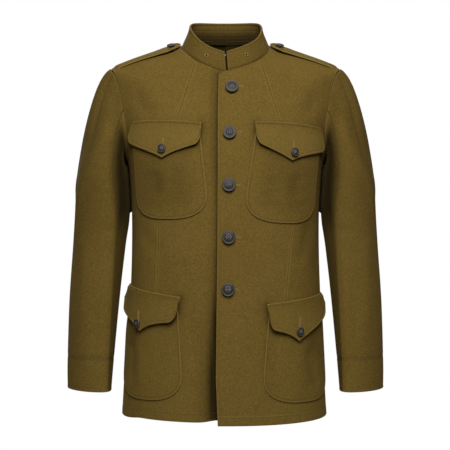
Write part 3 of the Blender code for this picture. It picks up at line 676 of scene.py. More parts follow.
def studio():
    lens = bpy.data.cameras.new("camera")
    lens.lens, lens.sensor_width, lens.clip_end = LENS_MM, 36, 100
    bpy.context.scene.camera = placed("camera", lens, CAMERA, (math.pi / 2, 0, 0))

    paint = Nodes("floor_paint")
    colour = paint.mix(paint.ramp(paint.noise(6, 3), 0.3, 0.7), (0.62, 0.62, 0.61, 1),
                       (0.66, 0.66, 0.65, 1))
    paint.shade(colour, None, Roughness=0.9, Specular_IOR_Level=0.1)
    turns = 2 * math.pi * np.arange(FLOOR_TURNS) / FLOOR_TURNS
    corners = [(FLOOR_REACH * math.cos(turn), FLOOR_REACH * math.sin(turn), z)
               for z in (FLOOR_Z - FLOOR_DEPTH, FLOOR_Z) for turn in turns]
    data = bpy.data.meshes.new("floor")
    data.from_pydata(corners, [], ring_faces(2, FLOOR_TURNS))
    data.materials.append(paint.material)
    placed("floor", data, (0, 0, 0))

    world = bpy.data.worlds.new("studio")
    world.use_nodes = True
    nodes, links = world.node_tree.nodes, world.node_tree.links
    nodes.clear()
    seen, lit = (nodes.new("ShaderNodeBackground") for _ in range(2))
    seen.inputs["Color"].default_value = (1, 1, 1, 1)
    lit.inputs["Color"].default_value = (1.0, 0.99, 0.97, 1)
    lit.inputs["Strength"].default_value = WORLD_STRENGTH
    mix = nodes.new("ShaderNodeMixShader")
    ray = nodes.new("ShaderNodeLightPath").outputs["Is Camera Ray"]
    for number, socket in enumerate((ray, lit.outputs[0], seen.outputs[0])):
        links.new(socket, mix.inputs[number])
    links.new(mix.outputs[0], nodes.new("ShaderNodeOutputWorld").inputs[0])
    bpy.context.scene.world = world

    key = bpy.data.lights.new("key", "AREA")
    key.shape, key.size, key.energy = "DISK", KEY_SIZE, KEY_WATTS
    back = bpy.data.lights.new("back", "SUN")
    back.energy, back.angle = BACK_STRENGTH, math.radians(BACK_SPREAD)
    for lamp, place in ((key, KEY_PLACE), (back, BACK_PLACE)):
        aim = Vector(LIGHT_TARGET) - Vector(place)
        placed(lamp.name, lamp, place, aim.to_track_quat("-Z", "Y").to_euler())
    bpy.context.scene.view_settings.view_transform = "Standard"


# --- The cloth's soft creases and painted shade ---

# Soft creases of the body, in millimetres: a line on it (s and height), half the crease's width,
# and how far it stands out or, below nought, sinks in.
FOLDS = [(np.array(line) / 1000, width / 1000, depth / 1000) for line, width, depth in (
    (((-185, -85), (-168, -122), (-132, -150)), 15, -2.4),
    (((-158, -75), (-142, -112), (-105, -140)), 17, 1.6),
    (((186, -90), (172, -125), (146, -152)), 14, -2.1),
    (((160, -78), (148, -115), (118, -136)), 16, 1.4),
    (((180, -340), (162, -386), (142, -430)), 16, -3),
    (((203, -345), (186, -398), (164, -446)), 16, 0.9),
    (((-182, -350), (-152, -385), (-115, -405)), 16, -1.8),
    (((160, -570), (178, -612), (188, -668)), 14, -3.4),
    (((135, -590), (142, -630), (145, -675)), 14, 1.5),
    (((-205, -560), (-197, -600), (-202, -655)), 13, -2.6),
    (((-178, -572), (-171, -610), (-172, -660)), 14, 1.6),
    (((-262, -490), (-270, -600), (-262, -770)), 45, 4.6),
    (((45, -500), (55, -600), (60, -712)), 22, 2.2),
    (((88, -520), (92, -610), (96, -712)), 16, -2),
    (((-50, -500), (-58, -600), (-68, -712)), 18, -1.7),
    (((-136, -248), (-128, -300)), 16, -2.4),
    (((-93, -240), (-90, -290)), 12, -1.9),
    (((130, -252), (140, -302)), 15, -2),
    (((92, -256), (98, -302)), 12, -1.5),
    (((52, -85), (100, -60)), 18, 1.6),
    (((290, -150), (325, -180), (370, -228)), 17, -2.8),
    (((-288, -155), (-330, -190), (-368, -240)), 18, -2.5),
    (((400, -85), (372, -130), (350, -170)), 28, 2.6),
    (((-402, -80), (-380, -126), (-352, -160)), 27, 2.4),
    (((425, -230), (418, -330), (428, -440)), 19, -2.6),
    (((-430, -250), (-415, -340), (-424, -450)), 20, -2.8),
    (((290, -425), (340, -405), (395, -412)), 15, -2.4),
    (((-285, -410), (-335, -400), (-400, -418)), 16, -2.2),
    (((365, -490), (372, -600), (380, -708)), 22, 3),
    (((-355, -500), (-366, -600), (-372, -708)), 23, 2.7),
    (((318, -520), (320, -610), (316, -706)), 17, -2.2),
    (((-430, -520), (-440, -610), (-446, -706)), 20, -2.4),
    (((455, -500), (462, -600), (470, -706)), 20, -2),
)]


def creases(spot, table):
    """How far soft creases along the table's lines lift the cloth at each spot."""
    total = np.zeros(spot.shape[:-1])
    for line, width, depth in table:
        away, place = to_line(spot, line)
        share = place / np.linalg.norm(np.diff(line, axis=0), axis=1).sum()
        total += depth * bell(away / width) * ease(4 * share) * ease(4 * (1 - share))
    return total


def painted_shade(s, z):
    """Painted shade under flaps' free edges, over their seams, round the pockets and on the patches
    of SHADES.
    """
    spot = np.stack((s, z), -1)
    total = np.zeros(s.shape)
    share, down = np.linspace(0, 1, 41), np.linspace(0.15, 1, 9)
    start, end = 0 * share, 0 * share + 1
    seams = []
    for name, (side, inner, outer, *_) in FLAPS.items():
        depth = flap_outline(name, share)
        edge = (flap_points(name, 0 * down, down, depth[0]), flap_points(name, share, end, depth))
        away, _ = to_line(spot, np.concatenate([np.stack(part, -1) for part in edge]))
        over = 1 - 0.75 * ease((np.clip((side * s - inner) / (outer - inner), 0, 1) - 0.12) / 0.55)
        total = np.maximum(total, FLAP_SHADE * over * np.exp(-away / (FLAP_SHADE_REACH * (0.45 + 0.55 * over))))
        seams.append((flap_points(name, share, start, depth),))
    for name in POCKETS:
        seams.append((pocket_points(name, start, share), pocket_points(name, share, end),
                      pocket_points(name, end, share[::-1])))
    for seam in seams:
        away, _ = to_line(spot, np.concatenate([np.stack(part, -1) for part in seam]))
        total = np.maximum(total, SEAM_SHADE * np.exp(-away / SEAM_REACH))
    for (middle, height), (wide, tall), depth in SHADES:
        total = np.maximum(total, depth * bell((s - middle) / wide) * bell((z - height) / tall))
    return total


SHADES = (                  # painted shade on soft hollows in the cloth: middle, half size and depth
    ((0.176, -0.562), (0.020, 0.040), 0.34),
    ((-0.196, -0.555), (0.016, 0.030), 0.16),
    ((0.178, -0.388), (0.022, 0.040), 0.22),
    ((-0.133, -0.270), (0.018, 0.034), 0.18),
    ((-0.094, -0.268), (0.012, 0.028), 0.14),
    ((0.134, -0.272), (0.018, 0.034), 0.12),
)
SEAM_SHADE, SEAM_REACH = 0.18, 0.0016    # painted shade beside the seams of the pockets and flaps
FLAP_SHADE, FLAP_SHADE_REACH = 0.72, 0.0055         # painted shade under the flaps' edges


def cloth(q, t):
    """The body's surface with its creases, and its normals."""
    out, points = normals(body, q, t), body(q, t)
    lift = creases(np.stack(np.broadcast_arrays(arc(q, t), points[..., 2]), -1), FOLDS)
    return points + lift[..., None] * out, out


def on_cloth(s, z, lift):
    points, out = cloth(*find(s, z))
    return points + np.asarray(lift)[..., None] * out, out


# --- Panels ---

# How much higher the collar's seam lies than the CAD model's, by signed quarter turns.
NECK_SHIFT = np.array((
    (-0.95, 0.0), (-0.90, 0.0018), (-0.80, 0.0042), (-0.70, 0.0052), (-0.60, 0.0054),
    (-0.50, 0.0050), (-0.40, 0.0048), (-0.30, 0.0052), (-0.20, 0.0048), (-0.10, 0.0030),
    (-0.03, 0.0008), (0.03, 0.0008), (0.10, 0.0028), (0.20, 0.0038), (0.30, 0.0041),
    (0.40, 0.0032), (0.50, 0.0020), (0.60, 0.0011), (0.70, 0.0)))

PANEL_STEP = 0.0048
BACK_STEP = 0.0050
SHOULDER_STEP = 0.0045
ARMHOLE_STEPS = 46          # rows of points beside the armhole
UPRIGHT_STEPS = 78          # from the hem to the armpit
HEM_REACH, HEM_STEP = 0.12, 0.005
HEM_ROW = 0.078             # metres of height in the lowest row of BODY
DART_PARTS = (0.130, 0.150) # a front panel's usual width before the darts and beyond them
BACK_PART = 0.26            # and a back panel's

# The line that a front's darts lie on: height and distance from the middle plane. Then the top
# and bottom of the dart at the chest and of the one at the waist.
DART_LINES = {
    -1: ((-0.7200, 0.1280), (-0.4657, 0.1276), (-0.3397, 0.1239), (-0.2500, 0.1080),
         (-0.1526, 0.0899), (-0.0983, 0.0736), (-0.0425, 0.0575), (-0.0050, 0.0480)),
    1: ((-0.7200, 0.1080), (-0.4861, 0.1113), (-0.3916, 0.1206), (-0.3490, 0.1261),
        (-0.2500, 0.1170), (-0.1538, 0.1006), (-0.0969, 0.0835), (-0.0386, 0.0665),
        (-0.0050, 0.0570)),
}
DARTS = {-1: ((-0.037, -0.156), (-0.352, -0.480)), 1: ((-0.038, -0.156), (-0.342, -0.492))}

LAP_OVER = (0.0022, 0.0014) # the lap reaches this far past LAP_EDGE, and more at the neck
LAP_HANG = (-0.38, -0.70)   # over these heights the right front falls in further behind the lap,
LAP_HOLLOW = (0.0016, 0.0080)       # by this much more than LAP_SINK
LAP_SHADE = 0.92            # how dark the painted shadow of the lap is on the right front, close behind it
ARMHOLE_RIDGE = (0.0024, 0.0120)    # the cloth's swell beside the armhole: height and reach
NECK_RAMP = 0.0032          # the shoulder's rise beside the collar

# Rows of stitches, by their distance from the edge, and the relief of the turned edge beside.
LAP_STITCH = 0.0056
HEM_STITCH, HEM_TURN = 0.015, (0.0003, 0.0004)
HOLE_STITCH, HOLE_TURN = 0.0045, (0.0003, 0.0003)
INSIDE_SHADE = 0.90         # the cloth's inside lies in shade


def armhole(turn):
    """Row and quarter of the armhole's edge, turn eighths from the shoulder point."""
    closed = np.concatenate((ARMHOLE[-1:], ARMHOLE, ARMHOLE[:2]))
    return np.moveaxis(along(closed, np.asarray(turn, float) % 8 + 1), -1, 0)


def neck_shift(q):
    return np.interp((np.asarray(q) + 2) % 4 - 2, *NECK_SHIFT.T, left=0.0, right=0.0)


def lap_edge(t):
    return np.interp(body(0.0, t)[..., 2], *LAP_EDGE.T)


def panel_rows(back):
    """Rows of a panel, and the quarter that its outer edge reaches on each."""
    climb = 4 * np.linspace(0, 1, ARMHOLE_STEPS + 1)
    rows, quarters = armhole(4 + climb if back else 4 - climb)
    rows[0], rows[-1] = ARMPIT_ROW, SHOULDER_ROW
    quarters[0] = quarters[-1] = 1.0
    hem = lines(HEM_REACH, HEM_STEP, STITCHED[:6], (), (HEM_STITCH, ROW)) / HEM_ROW
    low = np.concatenate((hem, np.linspace(hem[-1], ARMPIT_ROW, UPRIGHT_STEPS)[1:-1]))
    slope = body(0.6, np.linspace(SHOULDER_ROW, NECK_ROW, 40))
    length = np.linalg.norm(np.diff(slope, axis=0), axis=1).sum()
    share = lines(length, SHOULDER_STEP, (), SEAMED) / length
    high = blend(SHOULDER_ROW, NECK_ROW, share[1:])
    rows = np.concatenate((low, rows, high))
    return rows, np.concatenate((np.ones(len(low)), quarters, np.ones(len(high))))


def dart_arc(side, rows):
    """Metres round to the line of the darts, on each row."""
    line = np.array(DART_LINES[side])
    q = np.full(len(rows), 0.4)
    for _ in range(12):
        here = body(q, rows)
        slope = (body(q + 1e-3, rows)[..., 0] - here[..., 0]) / 1e-3
        q = np.clip(q + 0.8 * (np.interp(here[..., 2], *line.T) - here[..., 0]) / slope, 0.1, 0.9)
    return arc(q, rows)


def neck_ramp(q, from_neck):
    """The shoulder's rise towards the collar, under the end of the strap."""
    rise = ease(from_neck / 0.007) * bell(from_neck / 0.022)
    return NECK_RAMP * bell((np.abs(q) - 1) / 0.35) * rise


def hidden(s, z):
    """Painted shade on the body's side, where a sleeve always covers it."""
    wide = bell((np.abs(s) - 0.262) / np.where(s > 0, 0.054, 0.048))
    return (0.80 + 0.12 * (s > 0)) * wide * ease((z + 0.42) / 0.12) * ease((-0.118 - z) / 0.055)


def behind_lap(points, out, x, t):
    """The right front's cloth let in behind the lap and hung higher, and the painted shadow of the
    lap on it.
    """
    lower = ease((points[..., 2] - LAP_HANG[0]) / (LAP_HANG[1] - LAP_HANG[0]))
    sunk, level = LAP_SINK_RUN
    level = level + 0.012 * lower
    depth = LAP_SINK + ease((NECK_ROW - 0.4 - t) / 0.8) * blend(*LAP_HOLLOW, lower)
    points = points - (depth * ease((level - x) / (level - sunk)))[..., None] * out
    edge_rise, side_rise = RIGHT_HEM_RISE
    edge_run, side_run = RIGHT_HEM_RUN
    rise = blend(side_rise, edge_rise, ease((edge_run - x) / edge_run))
    points[..., 2] += ease(1 - t / 1.2) * rise * ease((body(1.0, 0.0)[0] - x) / side_run)
    from_edge = np.maximum(x + lap_edge(t) - LAP_OVER[0], 0)
    reach = 0.0076 - 0.0030 * ease((-0.20 - points[..., 2]) / 0.10) + 0.0060 * lower
    shade = np.exp(-np.maximum(from_edge - 0.0105 * lower, 0) / reach)
    return points, LAP_SHADE * shade * ease((0.07 - x) / 0.02)


def front(name, side):
    rows, edge = panel_rows(back=False)
    start = np.full(len(rows), -UNDERLAP)
    if side > 0:
        start = lap_edge(rows) - LAP_OVER[0] - LAP_OVER[1] * ease((rows - 4) / 8)
    dart, end = dart_arc(side, rows), arc(edge, rows)
    before = between(start, dart, DART_PARTS[0], PANEL_STEP, STITCHED, SEAMED)
    beyond = between(dart, end, DART_PARTS[1], PANEL_STEP, SEAMED, STITCHED)
    s = np.concatenate((before, beyond[:, 1:]), axis=1)
    t = np.repeat(rows[:, None], s.shape[1], axis=1)
    q = quarter(s, t)
    q[:, -1] = edge
    x = body(q, t)[..., 0]
    dip, dip_run = NECK_DIP
    t = t - dip * ease(-x / dip_run) * ease(t - NECK_ROW + 1)
    q = side * np.where(x < 0, q * speed(0.0, rows[:, None]) / speed(0.0, t), q)
    points, out = cloth(q, t)
    points[..., 2] += neck_shift(q) * ease(t - NECK_ROW + 1)
    if side < 0:
        points, lap_shade = behind_lap(points, out, x, t)
    z = points[..., 2]
    from_lap, from_side, from_hem, from_neck = from_edges(points)
    away = np.minimum.reduce((from_lap, from_side, from_hem, from_neck))
    from_hole, _ = to_line(points, points[(rows >= ARMPIT_ROW) & (rows <= SHOULDER_ROW), -1])
    ridge, ridge_run = ARMHOLE_RIDGE
    relief = (turned(from_lap, LAP_STITCH) + turned(from_hem, HEM_STITCH, *HEM_TURN)
              + turned(from_hole, HOLE_STITCH, *HOLE_TURN) + ridge * bell(from_hole / ridge_run)
              + neck_ramp(q, from_neck))
    # painted shade in the seams at the side, the neck and the hem's stitches, under the flaps,
    # beside the pockets' seams and where the sleeve covers the side
    dark = (0.35 * bell(from_side / 0.0012) * ease(from_hole / 0.004)
            + 0.45 * bell(from_neck / 0.0018) + 0.30 * bell((from_hem - HEM_STITCH) / 0.0009)
            + painted_shade(side * s, z) + hidden(side * s, z))
    if side < 0:
        # painted shadow of the lap on the right front
        dark += lap_shade * ease((from_neck + 0.001) / 0.012)
    # paler from wear on the lap's edge and the hem, with painted highlights beside the armhole and
    # the hem's stitches
    wear_and_highlight = (0.8 * bell(from_lap / 0.0012) + 0.7 * bell(from_hem / 0.0012)
            + 0.55 * bell(from_hole / 0.0035)
            + 0.45 * bell((from_hem - HEM_STITCH - 0.0018) / 0.0011))
    from_dart = np.abs(s - dart[:, None])
    for top, bottom in DARTS[side]:
        there = ease((top + 0.002 - z) / 0.006) * ease((z - bottom) / 0.006)
        relief += there * 0.0006 * bell((from_dart - 0.0018) / 0.0012)
        relief -= there * 0.0008 * bell(from_dart / 0.0009)
        # painted shade in the dart, and a painted highlight beside it
        dark += 0.28 * there * bell(from_dart / 0.0007)
        wear_and_highlight += 0.35 * there * bell((from_dart - 0.0020) / 0.0010)
    sewn = ((np.where(from_hem > 0.004, from_lap, 0), LAP_STITCH), (from_hem, HEM_STITCH),
            (from_hole, HOLE_STITCH))
    cloth_piece(name, points, out, away, WALL, sewn, relief, wear_and_highlight, np.clip(dark, 0, 1),
                under_dark=INSIDE_SHADE)


def back(name, side):
    rows, edge = panel_rows(back=True)
    start, end = arc(edge, rows), arc(np.full(len(rows), 2.0), rows)
    s = between(start, end, BACK_PART, BACK_STEP, STITCHED, SEAMED)
    t = np.repeat(rows[:, None], s.shape[1], axis=1)
    q = quarter(s, t)
    q[:, 0], q[:, -1] = edge, 2.0
    points, out = cloth(side * q, t)
    from_side, from_middle, from_hem, from_neck = from_edges(points)
    away = np.minimum.reduce((from_side, from_middle, from_hem, from_neck))
    from_hole, _ = to_line(points, points[(rows >= ARMPIT_ROW) & (rows <= SHOULDER_ROW), 0])
    ridge, ridge_run = ARMHOLE_RIDGE
    relief = (turned(from_hem, HEM_STITCH, *HEM_TURN) + turned(from_hole, HOLE_STITCH, *HOLE_TURN)
              + 0.6 * ridge * bell(from_hole / ridge_run) + neck_ramp(q, from_neck))
    # painted shade in the seams at the side, the middle and the neck, and where the sleeve covers
    # the side
    dark = (0.5 * bell(from_side / 0.0012) + 0.5 * bell(from_middle / 0.0012)
            + 0.5 * bell(from_neck / 0.0015) + hidden(side * s, points[..., 2]))
    sewn = ((from_hem, HEM_STITCH), (from_hole, HOLE_STITCH))
    cloth_piece(name, points, out, away, WALL, sewn, relief, 0.7 * bell(from_hem / 0.0012),
                np.clip(dark, 0, 1), under_dark=INSIDE_SHADE)


# --- Sleeves ---

def section(turn, row):
    """Left sleeve below its head: turn in degrees from the outer side, forwards."""
    height, x, y, length, thickness, turn_in = np.moveaxis(along(SLEEVE, row), -1, 0)
    angle, swing = np.radians(turn), np.radians(turn_in)
    crease, sharpness = FOREARM_CREASE
    out = thickness * np.cos(angle)
    forward = length * (np.sin(angle) + crease * np.maximum(np.sin(angle), 0) ** sharpness)
    return np.stack((x + out * np.cos(swing) - forward * np.sin(swing),
                     y - out * np.sin(swing) - forward * np.cos(swing), height + 0 * out), -1)


def armhole_edge(turn):
    t, q = armhole(turn / 45)
    return body(q, t), normals(body, q, t)


def sleeve(turn, row):
    """Left sleeve: row 0 is the armhole seam, row 1 the upper arm, later rows the sections."""
    turn, row = np.broadcast_arrays(np.asarray(turn, float), np.asarray(row, float))
    seam, out = armhole_edge(turn)
    run = armhole_edge(turn + 0.5)[0] - armhole_edge(turn - 0.5)[0]
    top, forwards = np.cos(np.radians(turn)), -np.sin(np.radians(turn))
    shoulder = np.maximum(top, 0) ** 2
    turned_out = np.stack((CAP_SPREAD * np.abs(forwards), CAP_ROLL * forwards,
                           CAP_RISE * shoulder), -1)
    leave = unit(unit(np.cross(out, run)) + turned_out)
    arm = section(turn, np.zeros_like(row))
    fall = unit(section(turn, np.full_like(row, 0.05)) - arm)
    changes = np.stack((np.ones_like(top), top, np.cos(np.radians(2 * turn)), shoulder), -1)
    leave_pull, fall_pull = (changes @ np.array(pull) for pull in (LEAVE_PULL, FALL_PULL))
    u = np.clip(row, 0, 1)[..., None]
    head = ((1 + 2 * u) * (1 - u) ** 2 * seam + u * (1 - u) ** 2 * leave_pull[..., None] * leave
            + u * u * (3 - 2 * u) * arm - u * u * (1 - u) * fall_pull[..., None] * fall)
    fold = SEAM_FOLD * np.maximum(-top, 0) ** 2
    full = CAP_FULLNESS * np.abs(forwards) * forwards
    head = head + 16 * (u * (1 - u)) ** 2 * np.stack((fold, full, 0 * top), -1)
    lower = section(turn, np.maximum(row - 1, 0))
    return np.where(row[..., None] <= 1, head, lower)


REST_CLEAR = 0.0025         # the sleeve's back hangs this near the body's side
REST_TURN = (205, 36)       # degrees round the sleeve, and how far to either side
REST_ROWS = (0.12, 0.40, 1.60, 2.15)    # it comes in and out again over these rows


def hung(turn, row):
    """The left sleeve with its inner back let in to rest beside the body."""
    points = sleeve(turn, row)
    x, y, z = np.moveaxis(points, -1, 0)
    beside = along(BODY, np.interp(z, BODY[:, 1], np.arange(len(BODY))))
    square = beside[..., 6]
    depth = np.where(y < 0, beside[..., 4], beside[..., 5])
    side_x = beside[..., 3] * (1 - np.clip(np.abs(y) / depth, 0, 1) ** square) ** (1 / square)
    start, full, fading, end = REST_ROWS
    share = ease((row - start) / (full - start)) * ease((end - row) / (end - fading))
    share = share * bell((turn % 360 - REST_TURN[0]) / REST_TURN[1])
    room = np.maximum(x - side_x - REST_CLEAR, 0)
    return points - (share * room)[..., None] * np.array((1.0, 0, 0))


DEGREE = 0.00115            # metres of cloth for a degree round the sleeve, near enough
HEAD_LENGTH = 0.185
ARM_LENGTH = 0.402
SLEEVE_STEP = 0.0045
CUFF_ROWS = (0.0615, 0.0685)    # two rows of stitches, over the sleeve's end
CUFF_STITCH = 0.0045
HEAD_RIDGE = (0.0014, 0.0090)   # height and reach of the sleeve's own swell at the armhole

CREASE_ROWS = (0.3, 1.2, 2.2, 3.0, 4.0, 5.0, 6.0)    # the cloth behind the forearm's crease
CREASE_TURNS = (110, 108, 103, 100, 99, 99, 101)     # lies in shade
CREASE_WIDTHS = (44, 36, 18, 10, 6, 5, 5)            # and how softly it starts, in degrees
RIDGE_ROWS = (0.20, 0.35, 0.70, 0.95, 1.30, 2.00)    # the cloth is painted darker outside this line, as shade
RIDGE_TURNS = (112, 104, 74, 44, 21, 4)

# Soft creases of a sleeve: degrees round it and row, then half width and depth in millimetres.
SLEEVE_FOLDS = (
    (((106, 0.35), (74, 0.7), (44, 0.95), (21, 1.3), (4, 2)), 14, 3),
    (((66, 0.3), (38, 0.55), (8, 0.78), (-14, 1.15)), 17, -2.8),
    (((46, 1), (24, 1.45), (2, 2.2), (-8, 3.1)), 7, 1.9),
    (((62, 0.17), (52, 0.36)), 12, -2.2),
    (((112, 2.3), (84, 2.55), (48, 2.48)), 14, -1),
    (((110, 2.62), (80, 2.86), (52, 2.84)), 14, 0.5),
    (((106, 2.95), (76, 3.14), (44, 3.06)), 14, -0.7),
    (((66, 3.4), (60, 4.2), (62, 5.3)), 14, -1.6),
    (((30, 2.6), (32, 3.6), (30, 4.6)), 16, 1.7),
    (((268, 2.05), (232, 2.32), (196, 2.24)), 9, -2.2),
    (((266, 2.4), (230, 2.62), (200, 2.58)), 10, 1.8),
    (((270, 2.76), (236, 2.92), (202, 2.8)), 9, -2.1),
    (((262, 3.15), (232, 3.26), (206, 3.18)), 10, -1.4),
    (((300, 0.45), (312, 0.8), (318, 1.3)), 16, -2.2),
    (((330, 0.6), (338, 1), (340, 1.6)), 15, 1.8),
    (((150, 0.4), (185, 0.55), (215, 0.48)), 12, -2),
    (((165, 3.2), (168, 4.2), (164, 5.2)), 15, -1.7),
)


def down_sleeve(row):
    """Metres down the sleeve, near enough."""
    return HEAD_LENGTH * np.minimum(row, 1) + ARM_LENGTH / 5 * np.maximum(row - 1, 0)


def sleeve_relief(turn, row):
    down = down_sleeve(row)
    total = np.zeros(turn.shape)
    for knots, width, depth in SLEEVE_FOLDS:
        turns, rows = np.array(knots, float).T
        fold = np.stack((turns * DEGREE, down_sleeve(rows)), -1), width / 1000, depth / 1000
        for full_turn in (-360, 0, 360):
            total += creases(np.stack(((turn + full_turn) * DEGREE, down), -1), (fold,))
    return total * ease(down / 0.025)


def sleeve_piece(name, side, first, last):
    span = (last - first) * DEGREE
    turns = first + lines(span, SLEEVE_STEP, SEAMED, SEAMED) / DEGREE
    head = lines(HEAD_LENGTH, SLEEVE_STEP, SEAMED) / HEAD_LENGTH
    marks = [(ARM_LENGTH - up, ROW) for up in CUFF_ROWS]
    arm = lines(ARM_LENGTH, SLEEVE_STEP, (), STITCHED[:12], *marks)
    turns, rows = np.meshgrid(turns, np.concatenate((head, 1 + 5 * arm[1:] / ARM_LENGTH)))
    out = normals(hung, turns, rows, high=6.0)
    out[0] = armhole_edge(turns[0])[1]
    points = hung(turns, rows) + sleeve_relief(turns, rows)[..., None] * out
    mirror = np.array((side, 1, 1))
    points, out = mirror * points, mirror * out
    from_first, from_last, from_hole, from_cuff = from_edges(points)
    away = np.minimum.reduce((from_first, from_last, from_hole, from_cuff))
    wide = np.interp(rows, CREASE_ROWS, CREASE_WIDTHS)
    inner = ease((turns - np.interp(rows, CREASE_ROWS, CREASE_TURNS)) / wide + 0.5)
    inner = inner * ease((270 - turns) / 44) * ease((rows - 0.08) / 0.32)
    outside = ease((np.interp(rows, RIDGE_ROWS, RIDGE_TURNS) - turns) / 24)
    outside = outside * ease((turns + 70) / 30) * ease((2.2 - rows) / 1.0)
    ridge, ridge_run = HEAD_RIDGE
    relief = ridge * bell(from_hole / ridge_run) * (1 - inner)
    relief += turned(from_cuff, CUFF_STITCH, *HEM_TURN)
    # painted shade: a darker tone over the whole sleeve, and more in its seams, behind the
    # forearm's crease and outside the ridge line
    dark = (0.13 + 0.10 * bell(np.minimum(from_first, from_last) / 0.0010)
            + 0.85 * inner * (0.54 + 0.46 * ease((2.9 - rows) / 1.2)) + 0.15 * outside)
    # paler from wear at the cuff's edge, with a painted highlight beside the armhole
    wear_and_highlight = 0.7 * bell(from_cuff / 0.0012) + 0.45 * bell(from_hole / 0.0035) * (1 - inner)
    for up in CUFF_ROWS:
        relief -= 0.0005 * bell((from_cuff - up) / 0.0009)
        # painted shade in each row of stitches at the cuff, with a painted highlight beside it
        dark += 0.26 * bell((from_cuff - up) / 0.0009)
        wear_and_highlight += 0.9 * bell((from_cuff - up - 0.0018) / 0.0012)
    sewn = [(from_cuff, up) for up in (CUFF_STITCH, *CUFF_ROWS)]
    cloth_piece(name, points, out, away, WALL, sewn, relief, wear_and_highlight, np.clip(dark, 0, 1),
                under_dark=INSIDE_SHADE)


# --- Collar ---

# How far the collar's top edge lies from the CAD model's: quarter turns, sideways, up.
TOP_SHIFT = np.array((
    (0.00, 0.0, -0.0008), (0.05, 0.0, 0.0008), (0.10, 0.0, 0.0019), (0.20, 0.0, 0.0029),
    (0.30, 0.0, 0.0026), (0.40, 0.0004, 0.0014), (0.50, 0.0010, -0.0003), (0.60, 0.0019, -0.0017),
    (0.70, 0.0029, -0.0019), (0.80, 0.0034, -0.0012), (0.90, 0.0032, -0.0008), (1.00, 0.0027, 0.0),
    (1.20, 0.0026, -0.0003), (1.40, 0.0032, -0.0014), (1.60, 0.0020, -0.0017), (2.00, 0.0, -0.0010),
    (2.40, -0.0015, -0.0017), (2.60, -0.0028, -0.0014), (2.80, -0.0020, 0.0),
    (3.00, -0.0006, 0.0012), (3.20, 0.0, 0.0034), (3.30, 0.0, 0.0040), (3.40, 0.0, 0.0036),
    (3.50, 0.0, 0.0036), (3.60, 0.0, 0.0032), (3.70, 0.0, 0.0031), (3.80, 0.0, 0.0026),
    (3.90, 0.0, 0.0013),
    (3.95, 0.0, 0.0004), (4.00, 0.0, -0.0008)))
BASE_FLARE = 0.0048         # how far the collar's base spreads at the sides
FLARE_RUN = 0.75            # over this share of its height
FLARE_DROP = 0.42           # and sinks, for each metre
COLLAR_LENGTH = 0.47
COLLAR_HEIGHT = 0.043
COLLAR_STEPS = (0.0045, 0.0030)
COLLAR_STITCH = 0.0050
END_SLANT = ((0.0100, -0.0070), (0.0030, -0.0210))  # quarter turns by which the ends lean
END_RUN = 0.25              # over this many quarter turns
COLLAR_TUCK = 0.045         # share of its height by which the collar goes down into its seam
COLLAR_TURN = 0.0010        # its base is drawn in by this much
COLLAR_TURN_RISE = 0.07     # below this share of its height
INSIDE_ROWS = (0.0050, 0.0150, 0.0210, 0.0262)     # rows of stitches inside, under the top edge
EYELETS = ((0.353, 0.480), (3.688, 0.450))  # quarter turns round, and share of its height
EYELET = 0.0019             # radius of the hole
EYELET_PIT = 0.0019         # and its depth
EYELET_RING = 0.0029        # radius of the stitches round it
EYELET_STITCHES = 44
TAPE_ENDS = (7 / 36, 29 / 36)   # shares of the collar's length
TAPE_LENGTH = 0.29
TAPE_SPREAD = 0.001         # the woven tape is wider than the CAD model's at each edge
TAPE_GAP = 0.0002
TAPE_STEP = 0.0012
TAPE_STITCH = 0.0018
TAPE_SHADE = 0.88


def collar_surface(q, rise):
    q, rise = np.asarray(q, float), np.asarray(rise, float)[..., None]
    base, top = (ring(q, np.broadcast_to(edge, q.shape + (8,))) for edge in (BODY[-1], COLLAR_TOP))
    across, up = (np.interp(q % 4, TOP_SHIFT[:, 0], TOP_SHIFT[:, k]) for k in (1, 2))
    top = top + np.stack((across, 0 * up, up), -1)
    base = base + neck_shift(q)[..., None] * np.array((0, 0, 1))
    side = np.sin(q * math.pi / 2)
    side = side * ease((np.abs(side) - 0.80) / 0.20)
    flare = BASE_FLARE * side[..., None] * ease((FLARE_RUN - rise) / FLARE_RUN)
    points = blend(base, top, rise) + np.array((0, 0, GAP)) + flare * np.array((1, 0, 0))
    return points - FLARE_DROP * np.abs(flare) * np.array((0, 0, 1))


def collar_ends():
    return COLLAR_ENDS[0] / speed(0.0, NECK_ROW), 4 + COLLAR_ENDS[1] / speed(0.0, NECK_ROW)


